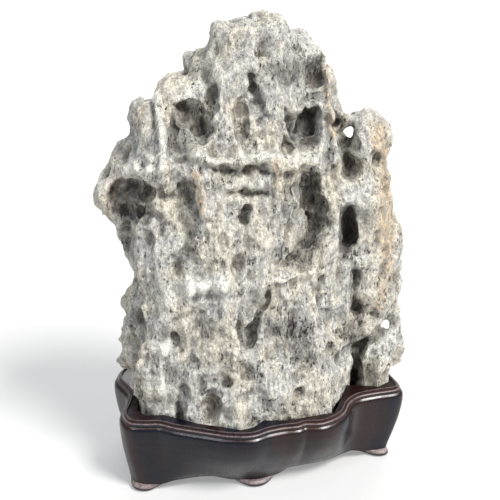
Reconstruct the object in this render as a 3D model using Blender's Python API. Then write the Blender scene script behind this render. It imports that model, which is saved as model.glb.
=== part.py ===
"""A scholars rock on its carved hardwood stand.

The rock is one pitted, craggy slab of stone that stands upright. Its foot rests in a seat
sunk in a dark, lobed stand, which stands on five low pads. Every number is in millimetres
until a mesh is made, where Blender's own unit is the metre. +Z is up, and -Y is the face.
"""

import math

import bmesh
import bpy
import numpy as np
from mathutils import Vector

MM = 0.001

# Driving dimensions
STAND_BASE = 8.0
SEAT_FLOOR = 68.0
SEAT_PLAY = 0.6
TOUCH_GAP = 0.3
STONE_FOOT = SEAT_FLOOR + TOUCH_GAP
STONE_TRIANGLES = 6000
CUT_HALF = 300.0

# The angle at which two faces of the stand or a foot meet in a sharp edge
SHARP_ANGLE = math.radians(35.0)

# The stone's first block and its voxels
BLOCK_HALF = 30.0
BLOCK_VOXEL = 3.6
STONE_VOXEL = 3.2

# The rock is made to be looked at from this eye, above its left front. Its outline and the relief
# of its face are laid out on sheets as seen from there.
EYE = (-244.0, -912.0, 675.0)

# The outline is drawn on an upright plane at this depth, (x, z), clockwise from the left tip.
OUTLINE_DEPTH = 5.0
OUTLINE = (
    (-145, 298), (-143, 313), (-136, 323), (-127, 331), (-124, 341), (-114, 352), (-109, 361),
    (-109, 374), (-107, 384), (-101, 389), (-91, 388), (-86, 393), (-80, 400), (-69, 402),
    (-54, 405), (-50, 418), (-44, 426), (-37, 430), (-34, 440), (-28, 449), (-18, 449),
    (-6, 450), (2, 449), (13, 453), (21, 453), (30, 453), (33, 441), (41, 431), (50, 431),
    (56, 433), (61, 426), (67, 420), (71, 415), (70, 408), (75, 400), (82, 388), (87, 374),
    (90, 358), (96, 348), (104, 349), (111, 353), (120, 356), (131, 349), (138, 337),
    (142, 326), (140, 308), (144, 291), (146, 250), (153, 246), (160, 231), (164, 213),
    (161, 189), (159, 178), (164, 170), (161, 160), (157, 145), (153, 134), (161, 134),
    (166, 126), (169, 114), (170, 100), (172, 86), (166, 62), (160, 46), (-116, 60),
    (-123, 113), (-124, 130), (-127, 150), (-122, 165), (-115, 186), (-115, 199), (-113, 220),
    (-119, 242), (-121, 254), (-122, 265), (-120, 274), (-134, 284),
)

# The rim, where face and back meet, runs deeper on the left than on the right.
RIM_DEPTH = 12.0
RIM_TURN = -0.2

# The face and the back as hull sections: a height, and (x, y) along it.
FACE_SECTIONS = (
    (70, ((-126, -26), (-110, -34), (-94, -37), (-82, -48), (-60, -63), (-31, -80), (-8, -72),
          (20, -76), (66, -75), (80, -52), (95, -32), (122, -41), (141, -35), (155, -22))),
    (200, ((-125, -18), (-108, -34), (-80, -46), (-40, -58), (0, -60), (50, -57), (80, -46),
           (95, -36), (130, -42), (155, -25))),
    (320, ((-148, 0), (-125, -16), (-95, -34), (-50, -40), (0, -42), (50, -42), (80, -32),
           (105, -34), (135, -25))),
    (440, ((-120, 0), (-60, -14), (0, -20), (50, -14), (90, 0))),
)
BACK_SECTIONS = (
    (70, ((-120, 62), (-60, 72), (0, 66), (60, 48), (120, 30), (155, 10))),
    (200, ((-125, 50), (-60, 62), (0, 58), (60, 45), (120, 30), (160, 8))),
    (320, ((-145, 44), (-60, 55), (0, 52), (60, 40), (120, 28))),
    (440, ((-90, 40), (0, 42), (60, 32))),
)

# The slab thins to its rim: the share of its depth at the rim, and how far in it is full, first
# for the stone at large and then for its boxy lower left, which starts left of and below a place
EDGE_START = (0.3, 0.7)
EDGE_REACH = (26.0, 16.0)
BOXY_FROM = (-80.0, 290.0)
BOXY_FADE = (30.0, 60.0)

# Where the relief of the face is laid out: a sheet that leans back with height.
SHEET_FOOT = (80.0, -72.0)
SHEET_SLOPE = 52.0 / 370.0

# How a stroke's depth falls off from its middle to its edge
SOFT = 2.0
SHARP = 1.0
STEEP = 4.0

# Relief of the face: depth (a crest is below zero), form, then (x, z, reach) along the stroke.
CROWN = (
    (12, SOFT, ((-47, 434, 7), (-48, 418, 9), (-45, 400, 8), (-42, 384, 7))),
    (5, SOFT, ((7, 438, 6), (4, 428, 7))),
    (11, SOFT, ((-6, 404, 9), (-5, 394, 7))),
    (5, SOFT, ((-4, 392, 9), (0, 374, 10))),
    (10, SOFT, ((59, 419, 8), (57, 405, 9), (52, 394, 6))),
    (6, STEEP, ((43, 386, 4), (45, 377, 5))),
    (5, STEEP, ((54, 386, 4), (51, 378, 5))),
    (7, SOFT, ((-104, 388, 5), (-106, 372, 5))),
    (6, SOFT, ((-96, 386, 7), (-95, 372, 6))),
    (6, STEEP, ((-111, 366, 5),)),
)
UPPER_FACE = (
    (9, STEEP, ((-68, 376, 14), (-68, 360, 17), (-72, 346, 12))),
    (20, SOFT, ((-62, 380, 12), (-54, 376, 14), (-50, 364, 10))),
    (7, SOFT, ((-58, 389, 6), (-74, 387, 6))),
    (-11, SHARP, ((-90, 398, 7), (-91, 375, 7), (-90, 350, 7), (-88, 330, 6))),
    (4, STEEP, ((-80, 341, 3), (-58, 340, 3))),
    (-5, SOFT, ((-100, 338, 10), (-74, 346, 9), (-52, 343, 10))),
    (-7, SOFT, ((-46, 338, 9), (-20, 336, 10), (8, 333, 10))),
    (-8, SOFT, ((18, 330, 10), (34, 326, 9), (50, 330, 9))),
    (-6, SHARP, ((12, 330, 7), (13, 316, 7), (12, 306, 6))),
    (12, SOFT, ((-44, 327, 6), (-20, 324, 8), (2, 323, 7))),
    (24, STEEP, ((50, 366, 8), (48, 348, 11))),
    (14, SOFT, ((38, 362, 13), (36, 345, 13))),
    (5, STEEP, ((0, 368, 4), (10, 369, 4))),
    (7, STEEP, ((23, 376, 4), (31, 366, 5))),
    (7, STEEP, ((-13, 387, 4), (-17, 372, 4), (-15, 351, 4))),
    (5, STEEP, ((13, 356, 4), (12, 348, 4))),
)
LEFT_WING = (
    (-10, SHARP, ((-150, 320, 8), (-132, 333, 9), (-114, 338, 9), (-100, 337, 7))),
    (22, STEEP, ((-132, 314, 10), (-116, 317, 12), (-104, 314, 9))),
    (12, SOFT, ((-130, 302, 12), (-110, 298, 12))),
    (8, SOFT, ((-124, 292, 9), (-127, 280, 9), (-119, 262, 8))),
    (8, SOFT, ((-109, 296, 5), (-98, 291, 6), (-92, 281, 6), (-93, 272, 5))),
    (-6, SOFT, ((-103, 282, 12),)),
    (16, SOFT, ((-70, 317, 8), (-68, 303, 10))),
    (8, SOFT, ((-79, 306, 10),)),
    (8, SOFT, ((-73, 295, 7), (-62, 293, 6))),
    (-11, SHARP, ((-57, 323, 8), (-56, 308, 9), (-55, 292, 8))),
    (10, SOFT, ((-72, 287, 6), (-65, 272, 7), (-70, 261, 7), (-85, 256, 6))),
    (9, SOFT, ((-68, 255, 10), (-78, 242, 11))),
    (-6, SOFT, ((-72, 221, 13), (-50, 224, 14))),
)
RIGHT_SIDE = (
    (-11, SHARP, ((64, 426, 8), (65, 400, 8), (67, 373, 8), (68, 342, 9), (67, 322, 7))),
    (14, SOFT, ((81, 398, 12), (80, 375, 12))),
    (15, SOFT, ((74, 360, 9), (77, 343, 11), (83, 325, 10), (86, 312, 8))),
    (14, STEEP, ((84, 354, 13), (85, 342, 11))),
    (10, SOFT, ((88, 322, 7),)),
    (17, STEEP, ((46, 316, 6), (50, 300, 9), (52, 282, 10), (52, 262, 10), (48, 246, 9))),
    (11, SOFT, ((42, 302, 13), (42, 270, 15), (34, 240, 13), (26, 228, 9))),
    (-8, SOFT, ((67, 308, 8), (68, 285, 9), (68, 262, 9), (65, 245, 8))),
    (32, STEEP, ((84, 275, 10), (83, 260, 11), (80, 243, 9))),
    (12, SOFT, ((79, 232, 6),)),
    (-5, SOFT, ((79, 287, 6), (90, 292, 6), (98, 284, 6))),
    (8, STEEP, ((57, 238, 4), (53, 224, 4), (56, 213, 4), (52, 204, 4), (55, 193, 4),
                (55, 180, 4), (52, 166, 4))),
    (10, SOFT, ((88, 218, 7), (87, 200, 8), (90, 181, 8))),
    (9, STEEP, ((104, 174, 6),)),
    (5, STEEP, ((109, 251, 4), (108, 242, 4))),
    (5, STEEP, ((121, 240, 4), (118, 225, 4), (112, 211, 4))),
    (6, STEEP, ((108, 329, 5), (112, 321, 5))),
    (8, SOFT, ((129, 207, 6), (128, 192, 6))),
    (16, SOFT, ((121, 162, 12), (108, 152, 10))),
    (7, STEEP, ((106, 172, 6),)),
    (9, STEEP, ((61, 179, 5), (62, 171, 5))),
    (26, SOFT, ((98, 152, 7), (92, 135, 8), (87, 118, 9), (88, 100, 10))),
    (-7, SOFT, ((113, 122, 17),)),
)
LOWER_FACE = (
    (11, SOFT, ((-19, 291, 6), (-20, 281, 8), (-16, 273, 5))),
    (-4, SOFT, ((-30, 314, 6), (-5, 312, 6))),
    (7, SOFT, ((-28, 308, 5), (-12, 305, 6), (0, 302, 6))),
    (-5, SHARP, ((62, 232, 5), (40, 222, 6), (18, 215, 6), (0, 214, 5))),
    (10, STEEP, ((2, 207, 4), (-6, 192, 5), (-13, 176, 5), (-20, 159, 5))),
    (8, SOFT, ((-22, 141, 9), (-20, 127, 8))),
    (6, STEEP, ((-28, 183, 4), (-25, 170, 4))),
    (7, SOFT, ((-84, 179, 7), (-81, 164, 7))),
    (6, SOFT, ((-84, 197, 7), (-75, 196, 6))),
    (6, SOFT, ((-72, 169, 5), (-73, 144, 6))),
    (4, SOFT, ((-61, 149, 4), (-59, 131, 4))),
    (6, STEEP, ((-40, 135, 4), (-39, 121, 4))),
    (12, SOFT, ((-82, 122, 4), (-86, 108, 5), (-86, 92, 7))),
    (9, SOFT, ((-54, 110, 7), (-60, 95, 9))),
    (-5, SHARP, ((-48, 116, 6), (-43, 98, 6))),
    (6, SOFT, ((-46, 95, 4), (-43, 84, 4))),
    (5, SOFT, ((-29, 98, 4), (-19, 101, 4))),
    (10, SOFT, ((66, 141, 6), (69, 127, 7))),
    (5, SOFT, ((30, 102, 6), (28, 84, 7))),
    (5, SOFT, ((1, 100, 6), (-2, 80, 7))),
    (-5, SOFT, ((-101, 166, 11),)),
    (-5, SOFT, ((-108, 124, 13),)),
)
FACE_RELIEF = CROWN + UPPER_FACE + LEFT_WING + RIGHT_SIDE + LOWER_FACE

# Relief of the back, laid out the same way on (x, z)
BACK_RELIEF = (
    (18, SOFT, ((-88, 372, 13), (-72, 346, 20), (-78, 316, 13))),
    (14, SOFT, ((-22, 424, 14), (-12, 396, 19), (-20, 368, 11))),
    (-11, SHARP, ((-46, 428, 11), (-40, 380, 14), (-50, 330, 14), (-38, 280, 13))),
    (21, SOFT, ((22, 356, 16), (34, 322, 24), (20, 292, 14))),
    (11, SOFT, ((52, 404, 10), (60, 372, 13))),
    (24, SOFT, ((97, 338, 14), (102, 314, 16), (96, 292, 10))),
    (-10, SHARP, ((66, 352, 14), (70, 305, 15), (60, 256, 13))),
    (15, SOFT, ((-112, 302, 14), (-94, 282, 15))),
    (-9, SOFT, ((-122, 262, 12), (-90, 250, 14), (-52, 256, 13))),
    (20, SOFT, ((-72, 226, 18), (-62, 192, 22), (-76, 168, 12))),
    (16, SOFT, ((-2, 262, 12), (4, 232, 18), (-4, 200, 13))),
    (-10, SHARP, ((-32, 240, 12), (-26, 190, 14), (-38, 140, 13), (-28, 92, 10))),
    (24, SOFT, ((98, 256, 12), (92, 228, 17), (100, 200, 11))),
    (18, SOFT, ((42, 202, 12), (56, 166, 20), (44, 134, 11))),
    (-8, SHARP, ((78, 186, 11), (84, 150, 12), (80, 104, 10))),
    (20, SOFT, ((130, 148, 13), (120, 124, 16))),
    (15, SOFT, ((-100, 164, 12), (-96, 128, 17), (-104, 104, 10))),
    (12, SOFT, ((4, 138, 11), (14, 106, 15))),
    (10, SOFT, ((104, 112, 11), (98, 92, 9))),
    (-8, SOFT, ((-72, 118, 14), (-52, 94, 13))),
)

# Relief of the left flank, laid out on (y, z)
FLANK_RELIEF = (
    (9, SOFT, ((-6, 264, 10), (2, 238, 12), (-4, 214, 9))),
    (-8, SHARP, ((20, 272, 10), (14, 234, 11), (22, 190, 12), (12, 150, 10))),
    (10, SOFT, ((42, 236, 12), (46, 204, 14))),
    (10, STEEP, ((-10, 196, 9), (-6, 174, 10))),
    (-6, SHARP, ((-28, 196, 8), (-22, 160, 9), (-30, 118, 8))),
    (12, SOFT, ((2, 146, 11), (-2, 122, 12), (8, 102, 9))),
    (-7, SHARP, ((26, 136, 9), (30, 96, 9))),
    (10, SOFT, ((48, 150, 12), (50, 118, 13))),
    (8, STEEP, ((-12, 100, 7), (-16, 90, 7))),
)
# It takes hold where the surface turns this far to the left, and fully this far
FLANK_TURN = (0.3, 0.8)

# The two windows, right through the stone along the line of sight: (x, z) on the sheet, radius
WINDOWS = ((84, 352, 5.2), (120, 161, 4.8))
WINDOW_START = 33.0
WINDOW_REACH = 110.0
WINDOW_SIDES = 10
WINDOW_ROUGH = 0.14

# How the strokes sway: size of a sway across and up, reach, seed
WARPS = (
    (26.0, 34.0, 3.5, 31),
    (11.0, 16.0, 1.8, 32),
)

# Rough lumps over the whole stone: size of a lump across and up, height, how far its tops
# are drawn out to sharp crests, seed
LUMPS = (
    (44.0, 66.0, 4.0, 1.0, 11),
    (23.0, 38.0, 4.2, 1.0, 12),
    (13.0, 24.0, 3.0, 1.0, 13),
    (7.0, 13.0, 1.3, 0.4, 14),
)
BACK_LUMPS = 1.5
# Wide lumps, from this size on, are drawn low at the rim, and grow to their full height over a
# reach from it
WIDE_LUMP = 20.0
RIM_CALM = 0.35
RIM_REACH = 15.0

# The stone's foot where it meets the seat, (x, y) anticlockwise seen from above
FOOTPRINT = (
    (-120, -22), (-114, -32), (-96, -36), (-84, -46), (-66, -60), (-49, -69), (-31, -80),
    (-18, -79), (-5, -70), (18, -76), (45, -75), (66, -75), (78, -56), (94, -31), (115, -38),
    (124, -42), (138, -36), (142, -20), (139, 4), (118, 26), (72, 44), (12, 58), (-50, 66),
    (-94, 66), (-107, 56), (-108, 30), (-113, 6),
)
# The stone stays inside its footprint up to this height, and comes free of it over the fade
TUCK_TOP = 82.0
TUCK_FADE = 9.0

# The stand's plan, anticlockwise seen from above: (x, y) of the rim, then of the wall's base
STAND_PLAN = (
    ((-116, 62), (-113, 60)), ((-127, 43), (-124, 41)), ((-120, 14), (-119, 13)),
    ((-125, -6), (-125, -6)), ((-132, -22), (-132, -24)), ((-130, -37), (-129, -41)),
    ((-118, -43), (-120, -48)), ((-103, -47), (-107, -52)), ((-88, -58), (-92, -56)),
    ((-64, -72), (-66, -57)), ((-42, -84), (-44, -62)), ((-22, -89), (-24, -66)),
    ((-5, -85), (-10, -69)), ((11, -84), (7, -67)), ((24, -85), (20, -66)),
    ((33, -83), (31, -65)), ((48, -86), (45, -65)), ((63, -82), (61, -64)),
    ((74, -74), (73, -61)), ((84, -60), (84, -57)), ((98, -51), (97, -54)),
    ((118, -49), (115, -53)), ((138, -49), (130, -53)), ((143, -44), (134, -48)),
    ((142, -26), (133, -29)), ((139, -6), (131, -8)), ((142, 17), (134, 16)),
    ((135, 37), (129, 35)), ((115, 48), (111, 44)), ((84, 56), (82, 49)),
    ((54, 70), (52, 57)), ((18, 80), (18, 63)), ((-20, 78), (-20, 64)),
    ((-52, 86), (-52, 71)), ((-82, 84), (-80, 73)), ((-103, 76), (-99, 71)),
)
PLAN_STEPS = 3
PLAN_NUDGE = 0.02
# The stand's spine runs from left to right under the rock: its two ends, and its depth
SPINE_ENDS = (-70.0, 90.0)
SPINE_DEPTH = 4.0

# The stand's profile: how far outside the rim, and the height, from the ledge to the shoulder
MOULDING = (
    (-1.8, 78.0), (-0.7, 79.7), (0.4, 79.3), (1.7, 77.0), (3.3, 77.3), (4.8, 76.0), (6.4, 72.3),
    (7.0, 68.0),
)
# Below the shoulder: the share of the way from the rim's plan to the base's, how far the wall
# still stands outside that plan, and the height
WALL = ((0.03, 6.8, 59.0), (0.19, 5.7, 46.0), (0.49, 3.6, 31.0), (0.8, 1.4, 18.0),
        (1.0, 0.0, STAND_BASE))
WALL_WIDTH = 16.0
UNDERSIDE = 14.0
ARCH_RISE = 5.0
ARCH_EASE = 1.2

# Each foot: where it starts and ends, counted in plan stations
FEET = {
    "foot_front_left": (4.1, 7.0),
    "foot_front_middle": (10.6, 13.1),
    "foot_front_right": (20.8, 23.0),
    "foot_back_right": (26.0, 28.0),
    "foot_back_left": (34.0, 36.0),
}
FOOT_TOP = STAND_BASE - TOUCH_GAP
FOOT_STEPS = 8
# A foot's profile halfway along it: how far outside the wall's base, and the height
FOOT_PROFILE = ((-0.5, FOOT_TOP), (4.2, 4.4), (4.5, 3.4), (1.2, 0.0))
# Its width there, the share of that width lost at its ends, how far its floor line draws in at
# the ends, and how late it turns in
FOOT_WIDTH = 18.0
FOOT_POINT = 0.2
FOOT_TUCK = 9.0
FOOT_BLUNT = 2.6


def new_material(name, colour, roughness):
    material = bpy.data.materials.new(name)
    material.use_nodes = True
    shader = material.node_tree.nodes["Principled BSDF"]
    shader.inputs["Base Color"].default_value = (*colour, 1.0)
    shader.inputs["Roughness"].default_value = roughness
    shader.inputs["Metallic"].default_value = 0.0
    return material


def new_object(name, mesh, material=None):
    obj = bpy.data.objects.new(name, mesh)
    bpy.context.scene.collection.objects.link(obj)
    if material:
        mesh.materials.append(material)
    return obj


def smooth(value):
    value = np.clip(value, 0.0, 1.0)
    return value * value * (3.0 - 2.0 * value)


def points_of(mesh):
    """The mesh's points in millimetres, one row each."""
    points = np.empty(len(mesh.vertices) * 3)
    mesh.vertices.foreach_get("co", points)
    return points.reshape(-1, 3) / MM


def set_points(mesh, points):
    mesh.vertices.foreach_set("co", (points * MM).ravel())
    mesh.update()


def normals_of(mesh):
    normals = np.empty(len(mesh.vertices) * 3)
    mesh.vertex_normals.foreach_get("vector", normals)
    return normals.reshape(-1, 3)


def bake(obj):
    """Turns the object's modifiers into its mesh."""
    graph = bpy.context.evaluated_depsgraph_get()
    mesh = bpy.data.meshes.new_from_object(obj.evaluated_get(graph))
    obj.modifiers.clear()
    obj.data = mesh


def remesh(obj, voxel):
    modifier = obj.modifiers.new("Voxels", "REMESH")
    modifier.mode = "VOXEL"
    modifier.voxel_size = voxel * MM
    bake(obj)


def cut(obj, cutters):
    """Takes the cutters from the object."""
    for cutter in cutters:
        cutter.hide_render = True
        cutter.display_type = "WIRE"
        modifier = obj.modifiers.new(cutter.name, "BOOLEAN")
        modifier.operation = "DIFFERENCE"
        modifier.solver = "EXACT"
        modifier.object = cutter
    bake(obj)


def lofted(name, rings):
    """A closed mesh through rings of equal length, capped at both ends."""
    shape = bmesh.new()
    loops = [[shape.verts.new(Vector(point) * MM) for point in ring] for ring in rings]
    for upper, lower in zip(loops, loops[1:]):
        for side in range(len(upper)):
            following = (side + 1) % len(upper)
            shape.faces.new((upper[side], upper[following], lower[following], lower[side]))
    shape.faces.new(loops[0])
    shape.faces.new(loops[-1])
    bmesh.ops.recalc_face_normals(shape, faces=shape.faces)
    mesh = bpy.data.meshes.new(name)
    shape.to_mesh(mesh)
    shape.free()
    return mesh


# ---- The stone ----


def lattice_value(cell, seed):
    """A repeatable number from -1 to 1 for each whole-numbered cell."""
    mixed = cell[:, 0] * 374761393 + cell[:, 1] * 668265263 + cell[:, 2] * 1440662683
    mixed = (mixed + seed * 1274126177) & 0xFFFFFFFF
    mixed = ((mixed ^ (mixed >> 13)) * 1274126177) & 0xFFFFFFFF
    return ((mixed ^ (mixed >> 16)) & 0xFFFF) / 32767.5 - 1.0


def lump_noise(points, across, up, seed):
    """Smooth noise from -1 to 1 whose lumps measure across by across by up."""
    place = points / (across, across, up) + 1000.0 + seed * 7.31
    cell = np.floor(place).astype(np.int64)
    part = smooth(place - cell)
    total = np.zeros(len(points))
    for corner in np.ndindex(2, 2, 2):
        weight = np.where(corner, part, 1.0 - part).prod(axis=1)
        total += weight * lattice_value(cell + corner, seed)
    return total


def along_sight(x, z, from_depth, to_depth):
    """Moves a place to another depth along the line of sight."""
    share = (to_depth - EYE[1]) / (from_depth - EYE[1])
    return EYE[0] + (x - EYE[0]) * share, EYE[2] + (z - EYE[2]) * share


def rim_depth(x):
    return RIM_DEPTH + RIM_TURN * x


def sheet_depth(z):
    return SHEET_FOOT[1] + (z - SHEET_FOOT[0]) * SHEET_SLOPE


def true_outline():
    """The outline carried back or forward from its drawing plane to the rim."""
    return [along_sight(x, z, OUTLINE_DEPTH, rim_depth(x)) for x, z in OUTLINE]


def distance_to_stroke(x, z, stroke):
    """How far each place is from the stroke, as a share of the stroke's reach there."""
    if len(stroke) == 1:
        return np.hypot(x - stroke[0][0], z - stroke[0][1]) / stroke[0][2]
    nearest = np.full(len(x), np.inf)
    for (ax, az, a_reach), (bx, bz, b_reach) in zip(stroke, stroke[1:]):
        length = math.hypot(bx - ax, bz - az)
        share = ((x - ax) * (bx - ax) + (z - az) * (bz - az)) / length**2
        share = np.clip(share, 0.0, 1.0)
        away = np.hypot(x - ax - share * (bx - ax), z - az - share * (bz - az))
        nearest = np.minimum(nearest, away / (a_reach + share * (b_reach - a_reach)))
    return nearest


def relief(x, z, strokes):
    """The summed depth of all strokes at each place."""
    depth = np.zeros(len(x))
    for stroke_depth, form, stroke in strokes:
        share = distance_to_stroke(x, z, stroke)
        depth += stroke_depth * (1.0 - np.clip(share, 0.0, 1.0) ** form) ** 2
    return depth


def section_depth(sections, x, z):
    """The depth of the face or back at each place, blended between its hull sections."""
    heights = [height for height, _ in sections]
    rows = np.array([np.interp(x, *zip(*row)) for _, row in sections])
    place = np.interp(z, heights, range(len(heights)))
    lower = np.minimum(place.astype(int), len(heights) - 2)
    part = smooth(place - lower)
    column = np.arange(len(x))
    return rows[lower, column] * (1.0 - part) + rows[lower + 1, column] * part


def distance_to_outline(x, z):
    outline = true_outline()
    ring = [(px, pz, 1.0) for px, pz in outline + outline[:1]]
    return distance_to_stroke(x, z, ring)


def edge_fullness(x, z, away):
    """The share of its full depth that the slab has at this distance from its outline."""
    boxy = smooth((BOXY_FROM[0] - x) / BOXY_FADE[0]) * smooth((BOXY_FROM[1] - z) / BOXY_FADE[1])
    start = EDGE_START[0] + (EDGE_START[1] - EDGE_START[0]) * boxy
    reach = EDGE_REACH[0] + (EDGE_REACH[1] - EDGE_REACH[0]) * boxy
    part = np.clip(away / reach, 0.0, 1.0)
    return start + (1.0 - start) * np.sqrt(1.0 - (1.0 - part) ** 2)


def stone_block():
    """The outline, extruded to a flat slab and remeshed to even voxels."""
    shape = bmesh.new()
    outline = true_outline()
    front = [shape.verts.new(Vector((x, -BLOCK_HALF, z)) * MM) for x, z in outline]
    face = shape.faces.new(front)
    sides = bmesh.ops.extrude_face_region(shape, geom=[face])
    moved = [item for item in sides["geom"] if isinstance(item, bmesh.types.BMVert)]
    bmesh.ops.translate(shape, verts=moved, vec=(0.0, 2.0 * BLOCK_HALF * MM, 0.0))
    bmesh.ops.recalc_face_normals(shape, faces=shape.faces)
    mesh = bpy.data.meshes.new("stone")
    shape.to_mesh(mesh)
    shape.free()
    stone = new_object("stone", mesh)
    remesh(stone, BLOCK_VOXEL)
    return stone


def hull_points(points):
    """Bends the flat slab to the stone's sections."""
    x, y, z = points.T
    fullness = edge_fullness(x, z, distance_to_outline(x, z))
    rim = rim_depth(x)
    face, back = (section_depth(sections, x, z) for sections in (FACE_SECTIONS, BACK_SECTIONS))
    sheet = np.where(y < 0.0, face, back)
    share = np.clip(np.abs(y) / BLOCK_HALF, 0.0, 1.0)
    return np.column_stack((x, rim + (sheet - rim) * share * fullness, z))


def warped(points, x, z):
    """Sways the places, so that strokes laid out with few points come out craggy."""
    for across, up, sway, seed in WARPS:
        x = x + sway * lump_noise(points, across, up, seed)
        z = z + sway * lump_noise(points, across, up, seed + 50)
    return x, z


def carved_points(points, front):
    """Sinks the hollows and raises the crests of the face and of the back."""
    x, y, z = points.T
    seen_x, seen_z = along_sight(x, z, y, sheet_depth(z))
    face = relief(*warped(points, seen_x, seen_z), FACE_RELIEF)
    back = relief(*warped(points, x, z), BACK_RELIEF)
    return np.column_stack((x, y + np.where(front, face, -back), z))


def flanked_points(points, normals):
    """Sinks the hollows and raises the crests of the left flank."""
    x, y, z = points.T
    turned = (-normals[:, 0] - FLANK_TURN[0]) / (FLANK_TURN[1] - FLANK_TURN[0])
    depth = relief(*warped(points, y, z), FLANK_RELIEF) * smooth(turned) * (x < 0.0)
    return np.column_stack((x + depth, y, z))


def roughened_points(points, normals):
    """Raises lumps along the normals, higher on the back, which has fewer strokes."""
    height = np.zeros(len(points))
    x, y, z = points.T
    away = np.hypot(distance_to_outline(x, z), y - rim_depth(x))
    calm = RIM_CALM + (1.0 - RIM_CALM) * smooth(away / RIM_REACH)
    for across, up, rise, crest, seed in LUMPS:
        lump = lump_noise(points, across, up, seed)
        raised = rise * (crest * (0.6 - 2.0 * np.abs(lump)) + (1.0 - crest) * lump)
        height += raised * calm if across > WIDE_LUMP else raised
    height *= 1.0 + (BACK_LUMPS - 1.0) * smooth(normals[:, 1] + 0.5)
    return points + normals * height[:, None]


def nearest_on_ring(x, y, ring):
    """Whether each place is outside the closed ring, and the ring's point nearest to it."""
    crossings = np.zeros(len(x), int)
    nearest = np.full(len(x), np.inf)
    edge = np.zeros((len(x), 2))
    for (ax, ay), (bx, by) in zip(ring, ring[1:] + ring[:1]):
        spans = (ay > y) != (by > y)
        crossings += spans & (x < ax + (y - ay) * (bx - ax) / (by - ay or 1.0))
        share = ((x - ax) * (bx - ax) + (y - ay) * (by - ay)) / ((bx - ax) ** 2 + (by - ay) ** 2)
        share = np.clip(share, 0.0, 1.0)
        foot = np.column_stack((ax + share * (bx - ax), ay + share * (by - ay)))
        away = np.hypot(x - foot[:, 0], y - foot[:, 1])
        edge[away < nearest] = foot[away < nearest]
        nearest = np.minimum(nearest, away)
    return crossings % 2 == 0, edge


def tucked_points(points):
    """Draws the foot of the stone in to its footprint, fully up to TUCK_TOP."""
    low = np.flatnonzero(points[:, 2] < TUCK_TOP + TUCK_FADE)
    outside, edge = nearest_on_ring(points[low, 0], points[low, 1], FOOTPRINT)
    low, edge = low[outside], edge[outside]
    share = 1.0 - smooth((points[low, 2] - TUCK_TOP) / TUCK_FADE)
    points[low, :2] += (edge - points[low, :2]) * share[:, None]
    return points


def window_cutter(number, x, z, radius):
    """A rough rod along the line of sight through a place on the sheet."""
    middle = Vector((x, sheet_depth(z), z))
    turn = (middle - Vector(EYE)).to_track_quat("Z", "Y")
    rings = []
    for end in (-WINDOW_START, WINDOW_REACH):
        ring = []
        for side in range(WINDOW_SIDES):
            angle = math.tau * side / WINDOW_SIDES
            reach = radius * (1.0 + WINDOW_ROUGH * math.sin(3.0 * angle + number))
            spoke = Vector((reach * math.cos(angle), reach * math.sin(angle), end))
            ring.append(middle + turn @ spoke)
        rings.append(ring)
    name = f"window_cutter_{number}"
    return new_object(name, lofted(name, rings))


def box_cutter(name, low, high):
    """A box from its lowest to its highest height, wider than the stone."""
    corners = ((-CUT_HALF, -CUT_HALF), (CUT_HALF, -CUT_HALF), (CUT_HALF, CUT_HALF), (-CUT_HALF, CUT_HALF))
    rings = [[(*corner, height) for corner in corners] for height in (low, high)]
    return new_object(name, lofted(name, rings))


def footprint_prism(name, play, low, high):
    """The footprint with its edge moved outward by the play, between two heights."""
    points = [Vector(point) for point in FOOTPRINT]
    ring = []
    for before, point, after in zip(points[-1:] + points, points, points[1:] + points[:1]):
        along = (after - before).normalized()
        ring.append(point + play * Vector((along.y, -along.x)))
    rings = [[(*point, height) for point in ring] for height in (low, high)]
    return new_object(name, lofted(name, rings))


def foot_cutters():
    """What trims the stone's foot: all below it, and a collar round the footprint."""
    below = box_cutter("below_cutter", STAND_BASE, STONE_FOOT)
    collar = box_cutter("collar_cutter", STAND_BASE, TUCK_TOP)
    cut(collar, [footprint_prism("collar_hole", 0.0, 0.0, TUCK_TOP + 1.0)])
    return [below, collar]


def make_stone(material):
    stone = stone_block()
    front = points_of(stone.data)[:, 1] < 0.0
    points = carved_points(hull_points(points_of(stone.data)), front)
    set_points(stone.data, points)
    remesh(stone, STONE_VOXEL)
    set_points(stone.data, flanked_points(points_of(stone.data), normals_of(stone.data)))
    points = roughened_points(points_of(stone.data), normals_of(stone.data))
    set_points(stone.data, tucked_points(points))
    remesh(stone, STONE_VOXEL)
    cut(stone, [window_cutter(number, *window) for number, window in enumerate(WINDOWS, 1)])
    thin = stone.modifiers.new("Fewer faces", "DECIMATE")
    thin.ratio = STONE_TRIANGLES / sum(len(face.vertices) - 2 for face in stone.data.polygons)
    bake(stone)
    cut(stone, foot_cutters())
    stone.data.materials.append(material)
    stone.data.shade_smooth()


# ---- The stand and its feet ----


def curve_point(points, place):
    """A point on the smooth closed curve through the points; place counts in points."""
    index = math.floor(place)
    part = place - index
    before, start, end, after = (
        Vector(points[(index + step) % len(points)]) for step in (-1, 0, 1, 2)
    )
    bend = 2.0 * before - 5.0 * start + 4.0 * end - after
    twist = 3.0 * (start - end) + after - before
    return start + 0.5 * part * ((end - before) + part * (bend + part * twist))


def plan_point(level, place, outward=0.0):
    """A point on the rim's plan (level 0), the base's (level 1) or between, moved outward."""
    plan = [Vector(rim).lerp(Vector(base), level) for rim, base in STAND_PLAN]
    along = curve_point(plan, place + PLAN_NUDGE) - curve_point(plan, place - PLAN_NUDGE)
    along.normalize()
    return curve_point(plan, place) + outward * Vector((along.y, -along.x))


def inner_point(place, width):
    """A point inside the base's plan, this far from its edge towards the stand's spine."""
    edge = plan_point(1.0, place)
    left, right = SPINE_ENDS
    spine = Vector((min(max(edge.x, left), right), SPINE_DEPTH))
    return edge + width * (spine - edge).normalized()


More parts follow.
